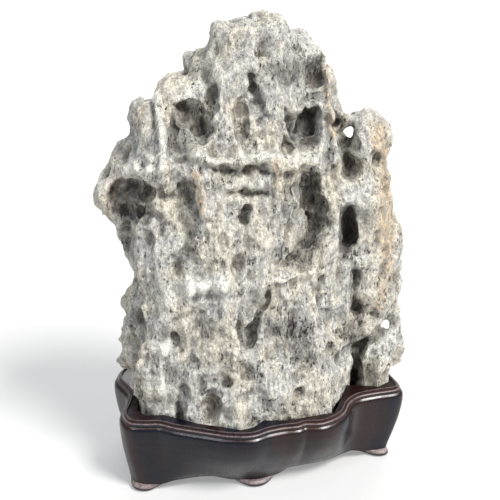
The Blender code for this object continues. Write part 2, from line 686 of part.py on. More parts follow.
def arch(place):
    """How far the wall's lower edge rises at this place: nothing over a foot."""
    stations = len(STAND_PLAN)
    free = ARCH_EASE
    for start, end in FEET.values():
        away = abs(place - (start + end) / 2.0) % stations
        free = min(free, min(away, stations - away) - (end - start) / 2.0)
    return ARCH_RISE * float(smooth(free / ARCH_EASE))


def stand_rings():
    """The stand's rings of points, from the ledge inside the rim down to its underside."""
    places = [step / PLAN_STEPS for step in range(len(STAND_PLAN) * PLAN_STEPS)]
    rings = []
    for outward, height in MOULDING:
        rings.append([(*plan_point(0.0, place, outward), height) for place in places])
    for level, outward, height in WALL:
        lift = [arch(place) if level == 1.0 else 0.0 for place in places]
        rings.append(
            [(*plan_point(level, p, outward), height + up) for p, up in zip(places, lift)]
        )
    rings.append([(*inner_point(place, WALL_WIDTH), STAND_BASE + arch(place)) for place in places])
    rings.append([(*inner_point(place, WALL_WIDTH), UNDERSIDE) for place in places])
    return rings


def make_stand(material):
    stand = new_object("stand", lofted("stand", stand_rings()))
    cut(stand, [footprint_prism("seat_cutter", SEAT_PLAY, SEAT_FLOOR, TUCK_TOP)])
    stand.data.materials.append(material)
    stand.data.shade_smooth()
    stand.data.set_sharp_from_angle(angle=SHARP_ANGLE)


def foot_ring(start, end, outward, height):
    """One level of a foot: along its outer edge, which draws in at its ends, and back inside."""
    outer, inner = [], []
    for step in range(FOOT_STEPS + 1):
        share = step / FOOT_STEPS
        place = start + (end - start) * share
        turn = abs(2.0 * share - 1.0) ** FOOT_BLUNT
        reach = outward * (1.0 - turn) - FOOT_TUCK * turn * (1.0 - height / FOOT_TOP)
        outer.append((*plan_point(1.0, place, reach), height))
        inner.append((*inner_point(place, FOOT_WIDTH * (1.0 - FOOT_POINT * turn)), height))
    return outer + inner[::-1]


def make_foot(name, start, end, material):
    """A low pad under the wall's edge, with a bevelled ledge."""
    rings = [foot_ring(start, end, outward, height) for outward, height in FOOT_PROFILE]
    foot = new_object(name, lofted(name, rings), material)
    foot.data.shade_smooth()
    foot.data.set_sharp_from_angle(angle=SHARP_ANGLE)


def clear_scene():
    for obj in list(bpy.data.objects):
        bpy.data.objects.remove(obj)


def stand_on_origin():
    """Moves everything so that the middle of the whole box's underside is the origin."""
    graph = bpy.context.evaluated_depsgraph_get()
    shown = [obj for obj in bpy.data.objects if not obj.hide_render]
    corners = [Vector(corner) for obj in shown for corner in obj.evaluated_get(graph).bound_box]
    low = Vector(min(corner[axis] for corner in corners) for axis in range(3))
    high = Vector(max(corner[axis] for corner in corners) for axis in range(3))
    for obj in bpy.data.objects:
        obj.location -= Vector(((low.x + high.x) / 2.0, (low.y + high.y) / 2.0, low.z))


def main():
    clear_scene()
    stone_colour = new_material("stone", (0.46, 0.44, 0.40), 0.9)
    wood_colour = new_material("dark_wood", (0.035, 0.014, 0.012), 0.22)
    make_stone(stone_colour)
    make_stand(wood_colour)
    for name, (start, end) in FEET.items():
        make_foot(name, start, end, wood_colour)
    stand_on_origin()


if __name__ == "__main__":
    main()
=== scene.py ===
"""The looks of a scholars rock on its carved stand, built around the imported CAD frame.

The stone, the stand and its pads are made again from the same driving dimensions as their
solids, with a finer surface, and each stands for its own node. Every number is in millimetres
until a mesh is made, where Blender's own unit is the metre. +Z is up, and -Y is the face.
"""

import math

import bmesh
import bpy
import numpy as np
from mathutils import Matrix, Vector


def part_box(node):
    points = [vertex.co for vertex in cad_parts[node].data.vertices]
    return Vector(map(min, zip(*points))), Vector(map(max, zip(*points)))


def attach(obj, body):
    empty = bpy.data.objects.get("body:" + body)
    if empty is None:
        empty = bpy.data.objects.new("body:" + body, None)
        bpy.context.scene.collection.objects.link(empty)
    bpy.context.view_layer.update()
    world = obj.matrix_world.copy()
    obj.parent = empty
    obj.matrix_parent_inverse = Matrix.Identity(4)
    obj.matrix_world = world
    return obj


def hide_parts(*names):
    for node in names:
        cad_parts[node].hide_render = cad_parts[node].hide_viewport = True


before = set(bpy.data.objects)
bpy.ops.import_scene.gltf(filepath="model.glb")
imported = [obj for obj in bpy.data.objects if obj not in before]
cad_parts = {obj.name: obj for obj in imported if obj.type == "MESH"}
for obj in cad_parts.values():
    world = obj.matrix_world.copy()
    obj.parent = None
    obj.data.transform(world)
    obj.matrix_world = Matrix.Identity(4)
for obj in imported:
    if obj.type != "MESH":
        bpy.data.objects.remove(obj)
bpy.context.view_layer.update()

MM = 0.001

# Driving dimensions, as in the solids
STAND_BASE = 8.0
SEAT_FLOOR = 68.0
SEAT_PLAY = 0.6
SEAT_CUT_RISE = 5.0
TOUCH_GAP = 0.3
STONE_FOOT = SEAT_FLOOR + TOUCH_GAP
SHARP_ANGLE = math.radians(35.0)

# The stone's voxels, from its first block to its skin, and its triangles
BLOCK_HALF = 30.0
BLOCK_VOXEL = 2.4
FORM_VOXEL = 2.0
SKIN_VOXEL = 1.45
STONE_TRIANGLES = 196000

# The stone's outline and the relief of its face are laid out on sheets, as seen from this eye
# above its left front
EYE = (-244.0, -912.0, 675.0)

# The outline is drawn on an upright plane at this depth, (x, z), clockwise from the left tip
OUTLINE_DEPTH = 5.0
OUTLINE = (
    (-145, 298), (-143, 313), (-136, 323), (-127, 331), (-124, 341), (-114, 352), (-109, 361),
    (-109, 374), (-107, 384), (-101, 389), (-91, 388), (-86, 393), (-80, 400), (-69, 402),
    (-54, 405), (-50, 418), (-44, 426), (-37, 430), (-34, 440), (-28, 449), (-18, 449),
    (-6, 450), (2, 449), (13, 453), (21, 453), (30, 453), (33, 441), (41, 431), (50, 431),
    (56, 433), (61, 426), (67, 420), (71, 415), (70, 408), (75, 400), (82, 388), (87, 374),
    (90, 358), (96, 348), (104, 349), (111, 353), (120, 356), (131, 349), (138, 337),
    (142, 326), (140, 308), (144, 291), (146, 250), (153, 246), (160, 231), (164, 213),
    (161, 189), (159, 178), (164, 170), (161, 160), (157, 145), (153, 134), (161, 134),
    (166, 126), (169, 114), (170, 100), (172, 86), (166, 62), (160, 46), (-116, 60),
    (-123, 113), (-124, 130), (-127, 150), (-122, 165), (-115, 186), (-115, 199), (-113, 220),
    (-119, 242), (-121, 254), (-122, 265), (-120, 274), (-134, 284),
)

# The rim, where face and back meet, runs deeper on the left than on the right
RIM_DEPTH = 12.0
RIM_TURN = -0.2

# The face and the back as hull sections: a height, and (x, y) along it.
FACE_SECTIONS = (
    (70, ((-126, -26), (-110, -34), (-94, -37), (-82, -48), (-60, -63), (-31, -80), (-8, -72),
          (20, -76), (66, -75), (80, -52), (95, -32), (122, -41), (141, -35), (155, -22))),
    (200, ((-125, -18), (-108, -34), (-80, -46), (-40, -58), (0, -60), (50, -57), (80, -46),
           (95, -36), (130, -42), (155, -25))),
    (320, ((-148, 0), (-125, -16), (-95, -34), (-50, -40), (0, -42), (50, -42), (80, -32),
           (105, -34), (135, -25))),
    (440, ((-120, 0), (-60, -14), (0, -20), (50, -14), (90, 0))),
)
BACK_SECTIONS = (
    (70, ((-120, 62), (-60, 72), (0, 66), (60, 48), (120, 30), (155, 10))),
    (200, ((-125, 50), (-60, 62), (0, 58), (60, 45), (120, 30), (160, 8))),
    (320, ((-145, 44), (-60, 55), (0, 52), (60, 40), (120, 28))),
    (440, ((-90, 40), (0, 42), (60, 32))),
)

# The slab thins to its rim: the share of its depth there, and how far in it is full, for the
# stone at large and for its boxy lower left, which starts left of and below a place
EDGE_START = (0.3, 0.7)
EDGE_REACH = (26.0, 16.0)
BOXY_FROM = (-80.0, 290.0)
BOXY_FADE = (30.0, 60.0)

# Where the relief of the face is laid out: a sheet that leans back with height
SHEET_FOOT = (80.0, -72.0)
SHEET_SLOPE = 52.0 / 370.0

# How a stroke's depth falls off from its middle to its edge
SOFT = 2.0
SHARP = 1.0
STEEP = 4.0

# Relief of the face: depth (a crest is below zero), form, then (x, z, reach) along the stroke
CROWN = (
    (12, SOFT, (-47, 434, 7), (-48, 418, 9), (-45, 400, 8), (-42, 384, 7)),
    (5, SOFT, (7, 438, 6), (4, 428, 7)),
    (11, SOFT, (-6, 404, 9), (-5, 394, 7)),
    (5, SOFT, (-4, 392, 9), (0, 374, 10)),
    (10, SOFT, (59, 419, 8), (57, 405, 9), (52, 394, 6)),
    (6, STEEP, (43, 386, 4), (45, 377, 5)),
    (5, STEEP, (54, 386, 4), (51, 378, 5)),
    (7, SOFT, (-104, 388, 5), (-106, 372, 5)),
    (6, SOFT, (-96, 386, 7), (-95, 372, 6)),
    (6, STEEP, (-111, 366, 5)),
)
UPPER_FACE = (
    (9, STEEP, (-68, 376, 14), (-68, 360, 17), (-72, 346, 12)),
    (20, SOFT, (-62, 380, 12), (-54, 376, 14), (-50, 364, 10)),
    (7, SOFT, (-58, 389, 6), (-74, 387, 6)),
    (-11, SHARP, (-90, 398, 7), (-91, 375, 7), (-90, 350, 7), (-88, 330, 6)),
    (4, STEEP, (-80, 341, 3), (-58, 340, 3)),
    (-5, SOFT, (-100, 338, 10), (-74, 346, 9), (-52, 343, 10)),
    (-7, SOFT, (-46, 338, 9), (-20, 336, 10), (8, 333, 10)),
    (-8, SOFT, (18, 330, 10), (34, 326, 9), (50, 330, 9)),
    (-6, SHARP, (12, 330, 7), (13, 316, 7), (12, 306, 6)),
    (12, SOFT, (-44, 327, 6), (-20, 324, 8), (2, 323, 7)),
    (24, STEEP, (50, 366, 8), (48, 348, 11)),
    (14, SOFT, (38, 362, 13), (36, 345, 13)),
    (5, STEEP, (0, 368, 4), (10, 369, 4)),
    (7, STEEP, (23, 376, 4), (31, 366, 5)),
    (7, STEEP, (-13, 387, 4), (-17, 372, 4), (-15, 351, 4)),
    (5, STEEP, (13, 356, 4), (12, 348, 4)),
)
LEFT_WING = (
    (-10, SHARP, (-150, 320, 8), (-132, 333, 9), (-114, 338, 9), (-100, 337, 7)),
    (22, STEEP, (-132, 314, 10), (-116, 317, 12), (-104, 314, 9)),
    (12, SOFT, (-130, 302, 12), (-110, 298, 12)),
    (8, SOFT, (-124, 292, 9), (-127, 280, 9), (-119, 262, 8)),
    (8, SOFT, (-109, 296, 5), (-98, 291, 6), (-92, 281, 6), (-93, 272, 5)),
    (-6, SOFT, (-103, 282, 12)),
    (16, SOFT, (-70, 317, 8), (-68, 303, 10)),
    (8, SOFT, (-79, 306, 10)),
    (8, SOFT, (-73, 295, 7), (-62, 293, 6)),
    (-11, SHARP, (-57, 323, 8), (-56, 308, 9), (-55, 292, 8)),
    (10, SOFT, (-72, 287, 6), (-65, 272, 7), (-70, 261, 7), (-85, 256, 6)),
    (9, SOFT, (-68, 255, 10), (-78, 242, 11)),
    (-6, SOFT, (-72, 221, 13), (-50, 224, 14)),
)
RIGHT_SIDE = (
    (-11, SHARP, (64, 426, 8), (65, 400, 8), (67, 373, 8), (68, 342, 9), (67, 322, 7)),
    (14, SOFT, (81, 398, 12), (80, 375, 12)),
    (15, SOFT, (74, 360, 9), (77, 343, 11), (83, 325, 10), (86, 312, 8)),
    (14, STEEP, (84, 354, 13), (85, 342, 11)),
    (10, SOFT, (88, 322, 7)),
    (17, STEEP, (46, 316, 6), (50, 300, 9), (52, 282, 10), (52, 262, 10), (48, 246, 9)),
    (11, SOFT, (42, 302, 13), (42, 270, 15), (34, 240, 13), (26, 228, 9)),
    (-8, SOFT, (67, 308, 8), (68, 285, 9), (68, 262, 9), (65, 245, 8)),
    (32, STEEP, (84, 275, 10), (83, 260, 11), (80, 243, 9)),
    (12, SOFT, (79, 232, 6)),
    (-5, SOFT, (79, 287, 6), (90, 292, 6), (98, 284, 6)),
    (8, STEEP, (57, 238, 4), (53, 224, 4), (56, 213, 4), (52, 204, 4), (55, 193, 4),
     (55, 180, 4), (52, 166, 4)),
    (10, SOFT, (88, 218, 7), (87, 200, 8), (90, 181, 8)),
    (9, STEEP, (104, 174, 6)),
    (5, STEEP, (109, 251, 4), (108, 242, 4)),
    (5, STEEP, (121, 240, 4), (118, 225, 4), (112, 211, 4)),
    (6, STEEP, (108, 329, 5), (112, 321, 5)),
    (8, SOFT, (129, 207, 6), (128, 192, 6)),
    (16, SOFT, (121, 162, 12), (108, 152, 10)),
    (7, STEEP, (106, 172, 6)),
    (9, STEEP, (61, 179, 5), (62, 171, 5)),
    (26, SOFT, (98, 152, 7), (92, 135, 8), (87, 118, 9), (88, 100, 10)),
    (-7, SOFT, (113, 122, 17)),
)
LOWER_FACE = (
    (11, SOFT, (-19, 291, 6), (-20, 281, 8), (-16, 273, 5)),
    (-4, SOFT, (-30, 314, 6), (-5, 312, 6)),
    (7, SOFT, (-28, 308, 5), (-12, 305, 6), (0, 302, 6)),
    (-5, SHARP, (62, 232, 5), (40, 222, 6), (18, 215, 6), (0, 214, 5)),
    (10, STEEP, (2, 207, 4), (-6, 192, 5), (-13, 176, 5), (-20, 159, 5)),
    (8, SOFT, (-22, 141, 9), (-20, 127, 8)),
    (6, STEEP, (-28, 183, 4), (-25, 170, 4)),
    (7, SOFT, (-84, 179, 7), (-81, 164, 7)),
    (6, SOFT, (-84, 197, 7), (-75, 196, 6)),
    (6, SOFT, (-72, 169, 5), (-73, 144, 6)),
    (4, SOFT, (-61, 149, 4), (-59, 131, 4)),
    (6, STEEP, (-40, 135, 4), (-39, 121, 4)),
    (12, SOFT, (-82, 122, 4), (-86, 108, 5), (-86, 92, 7)),
    (9, SOFT, (-54, 110, 7), (-60, 95, 9)),
    (-5, SHARP, (-48, 116, 6), (-43, 98, 6)),
    (6, SOFT, (-46, 95, 4), (-43, 84, 4)),
    (5, SOFT, (-29, 98, 4), (-19, 101, 4)),
    (10, SOFT, (66, 141, 6), (69, 127, 7)),
    (5, SOFT, (30, 102, 6), (28, 84, 7)),
    (5, SOFT, (1, 100, 6), (-2, 80, 7)),
    (-5, SOFT, (-101, 166, 11)),
    (-5, SOFT, (-108, 124, 13)),
)
FACE_RELIEF = CROWN + UPPER_FACE + LEFT_WING + RIGHT_SIDE + LOWER_FACE

# Relief of the back, laid out the same way on (x, z)
BACK_RELIEF = (
    (18, SOFT, (-88, 372, 13), (-72, 346, 20), (-78, 316, 13)),
    (14, SOFT, (-22, 424, 14), (-12, 396, 19), (-20, 368, 11)),
    (-11, SHARP, (-46, 428, 11), (-40, 380, 14), (-50, 330, 14), (-38, 280, 13)),
    (21, SOFT, (22, 356, 16), (34, 322, 24), (20, 292, 14)),
    (11, SOFT, (52, 404, 10), (60, 372, 13)),
    (24, SOFT, (97, 338, 14), (102, 314, 16), (96, 292, 10)),
    (-10, SHARP, (66, 352, 14), (70, 305, 15), (60, 256, 13)),
    (15, SOFT, (-112, 302, 14), (-94, 282, 15)),
    (-9, SOFT, (-122, 262, 12), (-90, 250, 14), (-52, 256, 13)),
    (20, SOFT, (-72, 226, 18), (-62, 192, 22), (-76, 168, 12)),
    (16, SOFT, (-2, 262, 12), (4, 232, 18), (-4, 200, 13)),
    (-10, SHARP, (-32, 240, 12), (-26, 190, 14), (-38, 140, 13), (-28, 92, 10)),
    (24, SOFT, (98, 256, 12), (92, 228, 17), (100, 200, 11)),
    (18, SOFT, (42, 202, 12), (56, 166, 20), (44, 134, 11)),
    (-8, SHARP, (78, 186, 11), (84, 150, 12), (80, 104, 10)),
    (20, SOFT, (130, 148, 13), (120, 124, 16)),
    (15, SOFT, (-100, 164, 12), (-96, 128, 17), (-104, 104, 10)),
    (12, SOFT, (4, 138, 11), (14, 106, 15)),
    (10, SOFT, (104, 112, 11), (98, 92, 9)),
    (-8, SOFT, (-72, 118, 14), (-52, 94, 13)),
)

# Relief of the left flank, laid out on (y, z)
FLANK_RELIEF = (
    (9, SOFT, (-6, 264, 10), (2, 238, 12), (-4, 214, 9)),
    (-8, SHARP, (20, 272, 10), (14, 234, 11), (22, 190, 12), (12, 150, 10)),
    (10, SOFT, (42, 236, 12), (46, 204, 14)),
    (10, STEEP, (-10, 196, 9), (-6, 174, 10)),
    (-6, SHARP, (-28, 196, 8), (-22, 160, 9), (-30, 118, 8)),
    (12, SOFT, (2, 146, 11), (-2, 122, 12), (8, 102, 9)),
    (-7, SHARP, (26, 136, 9), (30, 96, 9)),
    (10, SOFT, (48, 150, 12), (50, 118, 13)),
    (8, STEEP, (-12, 100, 7), (-16, 90, 7)),
)
# It takes hold where the surface turns this far to the left, and fully this far
FLANK_TURN = (0.3, 0.8)

# The two windows, through the stone along the line of sight: (x, z) on the sheet, radius
WINDOWS = ((84, 352, 5.2), (120, 161, 4.8))
WINDOW_START = 33.0
WINDOW_REACH = 110.0
WINDOW_SIDES = 10
WINDOW_ROUGH = 0.14
WINDOW_BULGES = 3.0

# The noise: what its cells are hashed with, and where it starts for each seed
CELL_PRIMES = (374761393, 668265263, 1440662683)
SEED_PRIME = 1274126177
NOISE_START = 1000.0
NOISE_STEP = 7.31
# A crest is this high, less so many times the size of the noise
CREST_TOP = 0.6
CREST_FALL = 2.0

# How the strokes sway: size of a sway across and up, reach, seed
WARPS = (
    (26, 34, 3.5, 31),
    (11, 16, 1.8, 32),
    (6, 9, 1.9, 33),
    (3, 4.5, 1, 34),
)

# Rough lumps over the whole stone: size of a lump across and up, height, how far its tops are
# drawn out to crests, seed
LUMPS = (
    (44, 66, 4, 1, 11),
    (23, 38, 4.2, 1, 12),
    (13, 24, 3, 1, 13),
    (7, 13, 1.3, 0.4, 14),
)
BACK_LUMPS = 1.5
# The back's share grows from this turn to the back
BACK_FROM = -0.5
# Lumps wider than this are low at the rim, and grow to their full height over a reach from it
WIDE_LUMP = 20.0
RIM_CALM = 0.35
RIM_REACH = 15.0

# The stone's foot where it meets the seat, (x, y) anticlockwise seen from above
FOOTPRINT = (
    (-120, -22), (-114, -32), (-96, -36), (-84, -46), (-66, -60), (-49, -69), (-31, -80),
    (-18, -79), (-5, -70), (18, -76), (45, -75), (66, -75), (78, -56), (94, -31), (115, -38),
    (124, -42), (138, -36), (142, -20), (139, 4), (118, 26), (72, 44), (12, 58), (-50, 66),
    (-94, 66), (-107, 56), (-108, 30), (-113, 6),
)
# The stone stays inside its footprint up to this height, and comes free over the fade
TUCK_TOP = 80.2
TUCK_FADE = 8.0

# The stand's plan, anticlockwise seen from above: x and y of the rim, then of the wall's base
STAND_PLAN = (
    (-116, 62, -113, 60), (-127, 43, -124, 41), (-120, 14, -119, 13), (-125, -6, -125, -6),
    (-132, -22, -132, -24), (-130, -37, -129, -41), (-118, -43, -120, -48),
    (-103, -47, -107, -52), (-88, -58, -92, -56), (-64, -72, -66, -57), (-42, -84, -44, -62),
    (-22, -89, -24, -66), (-5, -85, -10, -69), (11, -84, 7, -67), (24, -85, 20, -66),
    (33, -83, 31, -65), (48, -86, 45, -65), (63, -82, 61, -64), (74, -74, 73, -61),
    (84, -60, 84, -57), (98, -51, 97, -54), (118, -49, 115, -53), (138, -49, 130, -53),
    (143, -44, 134, -48), (142, -26, 133, -29), (139, -6, 131, -8), (142, 17, 134, 16),
    (135, 37, 129, 35), (115, 48, 111, 44), (84, 56, 82, 49), (54, 70, 52, 57), (18, 80, 18, 63),
    (-20, 78, -20, 64), (-52, 86, -52, 71), (-82, 84, -80, 73), (-103, 76, -99, 71),
)
PLAN_STEPS = 12
CAD_PLAN_STEPS = 3
PLAN_NUDGE = 0.02
# The stand's spine runs from left to right under the rock: its two ends, and its depth
SPINE_ENDS = (-70.0, 90.0)
SPINE_DEPTH = 4.0

# The stand's profile: how far outside the rim, and the height, from the ledge to the shoulder
MOULDING = (
    (-1.8, 78), (-1.3, 78.7), (-0.8, 79.4), (-0.2, 79.7), (0.3, 79.5), (0.7, 78.6),
    (1, 77.6), (1.3, 77.1), (1.8, 77), (2.2, 77.2), (2.7, 77.3), (3.3, 77), (3.8, 76.4),
    (4.1, 75.4), (4.2, 74.5), (4, 73.9), (4.2, 73.6), (4.6, 73.3), (5.1, 72.85), (5.6, 72.35),
    (6.05, 71.75), (6.45, 71), (6.75, 70), (6.93, 68.6), (7, 66.8), (7, 63.5),
)
# Below the shoulder: the share of the way from the rim's plan to the base's, how far outside
# that plan the wall stands, and the height
WALL = (
    (0.03, 6.8, 59), (0.08, 6.45, 54.5), (0.13, 6.05, 50), (0.19, 5.7, 46), (0.28, 5.1, 41),
    (0.38, 4.4, 36), (0.49, 3.6, 31), (0.6, 2.8, 26), (0.7, 2.1, 21.8), (0.8, 1.4, 18),
    (0.87, 0.9, 14.8), (0.93, 0.4, 12), (0.97, 0.1, 9.8), (1, 0, STAND_BASE),
)
WALL_WIDTH = 16.0
UNDERSIDE = 14.0
ARCH_RISE = 5.0
ARCH_EASE = 1.2
# The share of the way down from which the wall takes part in the rise of its lower edge
ARCH_FROM = 0.8

# Each foot: where it starts and ends, counted in plan stations
FEET = {
    "foot_front_left": (4.1, 7),
    "foot_front_middle": (10.6, 13.1),
    "foot_front_right": (20.8, 23),
    "foot_back_right": (26, 28),
    "foot_back_left": (34, 36),
}
FOOT_TOP = STAND_BASE - TOUCH_GAP
FOOT_STEPS = 36
# A foot's profile halfway along it: how far outside the wall's base, and the height
FOOT_PROFILE = (
    (-0.5, FOOT_TOP), (0.6, 7.3), (1.9, 6.6), (3, 5.7), (3.8, 4.9), (4.3, 4.2), (4.5, 3.4),
    (4.2, 2.4), (3.4, 1.3), (2.3, 0.4), (1.2, 0),
)
# Its width there, and at its ends the share of it lost, how far the floor line draws in, and how
# late it turns in
FOOT_WIDTH = 18.0
FOOT_POINT = 0.2
FOOT_TUCK = 9.0
FOOT_BLUNT = 2.6

# The skin only sinks below this height, and comes free over the fade
SKIN_FREE = 78.0
SKIN_FADE = 7.0

# Finer roughness of the skin, as for the lumps
GRAIN = (
    (9, 15, 0.9, 0.9, 51),
    (5, 8.5, 0.8, 0.8, 52),
    (3.2, 5, 0.7, 0.5, 53),
)
# Shallow hollows that ease the deep ones' left sides, and low crests between them
EASE_RELIEF = (
    (6, SOFT, (-76, 372, 13), (-76, 350, 13)),
    (7, SOFT, (24, 360, 13), (26, 344, 12)),
    (-5, SHARP, (-88, 394, 7), (-90, 360, 7), (-88, 330, 7), (-84, 312, 6)),
    (5, SOFT, (-126, 300, 14), (-112, 288, 12)),
    (5, SOFT, (26, 300, 14), (22, 262, 16), (14, 236, 12)),
    (4, SOFT, (-16, 262, 14), (-24, 240, 14)),
)

# How much calmer the skin is where the stone is pale
PALE_CALM = 0.6
# The turn to the back at which the face's say in the skin and its tints has faded out
SKIN_TURN = 0.5
TINT_TURN = 0.6

# Small pits: across, up, share of cells that hold one, depth, seed
PITS = (
    (5, 12, 0.06, 1.7, 42),
    (3.4, 8, 0.14, 1.3, 43),
)
PIT_RADIUS = (0.20, 0.46)
# In cells: how far a pit's edge strays from a circle, the size of what bends it, how far its
# middle lies off its cell's, and where the cells start
PIT_STRAY = 0.35
PIT_BEND = 0.6
PIT_SCATTER = 0.35
PIT_START = 500.0
# The share of its full depth that the smallest pit has
PIT_LEAST = 0.4

# How far the curvature masks look over the surface, in rounds of averaging; they paint shade in
# sunk places and light on raised ones
NEAR_ROUNDS = 4
WIDE_ROUNDS = 60

# Where the stone is orange-beige, on the sheet
WARM_STROKES = (
    (0.9, SOFT, (65, 415, 4), (64, 385, 5), (67, 352, 5)),
    (0.9, SOFT, (-58, 325, 8), (-56, 292, 7)),
    (0.7, SOFT, (14, 328, 7), (12, 308, 6)),
    (0.8, SOFT, (112, 352, 14), (120, 310, 15), (120, 262, 17), (120, 215, 15), (112, 180, 10)),
    (0.5, SOFT, (-132, 330, 14), (-140, 300, 12)),
    (0.4, SOFT, (-112, 372, 10), (-104, 386, 8)),
    (0.5, SOFT, (92, 150, 9), (96, 138, 7)),
)
# Where it is pale and smooth: paler stone, and painted light on crests, ledges and hollow sides
# that face the lamps
PALE_AND_LIT_STROKES = (
    (1.4, SOFT, (-82, 222, 20), (-44, 224, 18)),
    (1.6, SOFT, (-146, 328, 16), (-100, 338, 18)),
    (0.8, SOFT, (-46, 340, 12), (50, 332, 12)),
    (1.3, SOFT, (-96, 210, 12), (-98, 170, 15), (-98, 120, 15), (-92, 92, 12)),
    (0.8, SOFT, (-50, 444, 16), (-36, 410, 14), (-70, 400, 14)),
    (1.1, SOFT, (-90, 396, 8), (-90, 340, 8)),
    (0.8, SOFT, (-78, 364, 12), (-76, 346, 12)),
)
# Where it is dark and close-pitted, and where shade is painted in the deep hollows and under the
# left wing's ledge
DARK_AND_SHADE_STROKES = (
    (1.4, SOFT, (14, 414, 16), (50, 408, 20)),
    (0.9, SOFT, (-20, 190, 16), (10, 180, 22), (34, 140, 18)),
    (1.2, SOFT, (50, 306, 14), (54, 262, 20), (34, 236, 18)),
    (0.9, SOFT, (-80, 250, 16), (-62, 262, 14)),
    (0.7, SOFT, (30, 160, 26), (50, 130, 20)),
    (1.2, SOFT, (80, 160, 14), (100, 150, 12)),
    (0.9, SOFT, (46, 346, 12), (46, 366, 12)),
    (0.9, SOFT, (-132, 306, 16), (-108, 300, 14)),
    (0.8, SOFT, (92, 150, 12), (88, 110, 14)),
    (0.7, SOFT, (80, 360, 12), (84, 322, 12)),
    (1.2, SOFT, (83, 280, 13), (81, 236, 12)),
    (1, SOFT, (88, 222, 12), (90, 170, 12)),
    (0.8, SOFT, (-54, 378, 15), (-50, 362, 12)),
    (0.8, SOFT, (46, 366, 14), (46, 346, 12)),
)

# Where the stand's lacquer is pale along its beads, worn and with a painted reflection of the
# sky: how far outside the rim, how wide, how much
WORN_AND_SHEEN_LINES = ((-0.1, 0.8, 0.7), (2.9, 1.2, 0.9))
WORN_AND_SHEEN_ABOVE = 75.5
# Where it is worn orange-brown
RUBBED_LINES = ((1.4, 0.6, 0.5), (4.5, 0.3, 0.8))
RUBBED_ABOVE = 72.0
# From this height up, a foot's bevel takes the same pale mark, there a painted reflection of the
# sky
FOOT_SHEEN = (3.6, 5.2)

# A colour mix's sockets: its share, its two colours and its result
MIX_SHARE, MIX_FIRST, MIX_SECOND, MIX_RESULT = 0, 6, 7, 2

# Noises of the materials: size of a lump across and up, detail, roughness, distortion
STONE_NOISES = {
    "patches": (30, 46, 3, 0.6, 0),
    "blotches": (8, 13, 4, 0.65, 0.4),
    "fibres": (2.4, 4.8, 4, 0.72, 1),
    "grains": (0.9, 1.4, 2, 0.7, 0),
    "clusters": (18, 26, 2, 0.5, 0),
    "slits": (2.1, 5, 2, 0.55, 0.5),
}
WOOD_NOISES = {
    "bands": (36, 120, 2, 0.5, 0.4),
    "figure": (50, 4, 4, 0.6, 0.6),
    "scuffs": (3, 3, 4, 0.65, 0),
    "gloss": (8, 30, 3, 0.6, 0),
    "pores": (0.8, 9, 2, 0.6, 0),
}
# The colour underneath, then the tints over it in turn: a colour, and the masks whose product
# is its share, each stepped from a low to a high value, and from a low to a high result
STONE_GREY = (0.60, 0.59, 0.56, 1.0)
STONE_TINTS_LIGHT_AND_SHADE = (
    ((0.68, 0.635, 0.54), ("patches", 0.40, 0.60)),
    # painted light: cream on raised crests
    ((0.80, 0.76, 0.64), ("lifted", 0, 0.6, 0, 0.5), ("blotches", 0.36, 0.60)),
    # paler stone, and painted light on crests, ledges and hollow sides that face the lamps
    ((0.88, 0.86, 0.80), ("pale", 0.1, 1.5, 0, 0.8)),
    ((0.64, 0.48, 0.31), ("warm", 0, 0.8, 0, 0.85), ("fibres", 0.39, 0.58)),
    # the stone's browner hollows, and painted shade in broad hollows
    ((0.27, 0.22, 0.18), ("wide", 0.3, 4.5, 0, 0.55)),
    # dark close-pitted stone, and painted shade in the deep hollows
    ((0.17, 0.155, 0.14), ("dark", 0.1, 1.4, 0, 0.6)),
)
# The masks that make the stone lighter or darker: grain and blotches, and painted shade in dents
# and hollows with painted light on bumps and crests
STONE_TONES_AND_SHADE = (
    ("fibres", 0.34, 0.62, 0.56, 1.18),
    ("grains", 0.34, 0.66, 0.82, 1.16),
    ("blotches", 0.34, 0.64, 0.9, 1.06),
    # painted shade in small dents and painted light on small bumps
    ("near_shade_and_light", -0.4, 0.8, 1.12, 0.6),
    # painted shade in the face's hollows and painted light on its crests
    ("hollow_shade", -6, 23, 1.1, 0.43),
)
# A dark slit, a fine pit with the shade inside it painted near-black, opens where its noise lies
# below a limit, which these masks add up to
SLIT_LIMIT = (("clusters", 0.38, 0.62, 0.31, 0.41), ("dark", 0.1, 0.8, 0.0, 0.07))
SLIT_EDGE = 0.06
# painted shade: the slits are darker where the surface is sunk
SLIT_TINT = ((0.075, 0.062, 0.052), ("slit",), ("near_shade_and_light", -0.4, 0.2, 0.5, 1.0))
STONE_ROUGHNESS = 0.9
STONE_SPECULAR = 0.2
STONE_BUMP = 3.2
GRAIN_SHARE = 0.45

WOOD_BLACK = (0.0015, 0.002, 0.007, 1.0)
WOOD_WEAR_AND_SHEEN = (("worn_and_sheen",), ("scuffs", 0.3, 0.62, 0.35, 0.95))
WOOD_TINTS = (
    ((0.014, 0.0045, 0.005), ("bands", 0.44, 0.60)),
    ((0.030, 0.011, 0.010), ("figure", 0.48, 0.75, 0, 0.35)),
    ((0.17, 0.075, 0.045), ("rubbed",), ("scuffs", 0.3, 0.6, 0.3, 0.8)),
    # pale beads: worn lacquer and a painted reflection of the sky
    ((0.25, 0.19, 0.19), *WOOD_WEAR_AND_SHEEN),
)
WOOD_GLOSS = ("gloss", 0.3, 0.7, 0.24, 0.34)
WEAR_ROUGHNESS = 0.25
WOOD_SPECULAR = 0.4
PORE_BUMP = 0.10
PORE_STRENGTH = 0.5

# The camera: where it aims, and from where
CAMERA_AIM = (0.0, 0.0, 215.0)
CAMERA_AZIMUTH = -15.0
CAMERA_ELEVATION = 26.0
CAMERA_DISTANCE = 1050.0
CAMERA_LENS = 77.76
CAMERA_SHIFT = 0.024

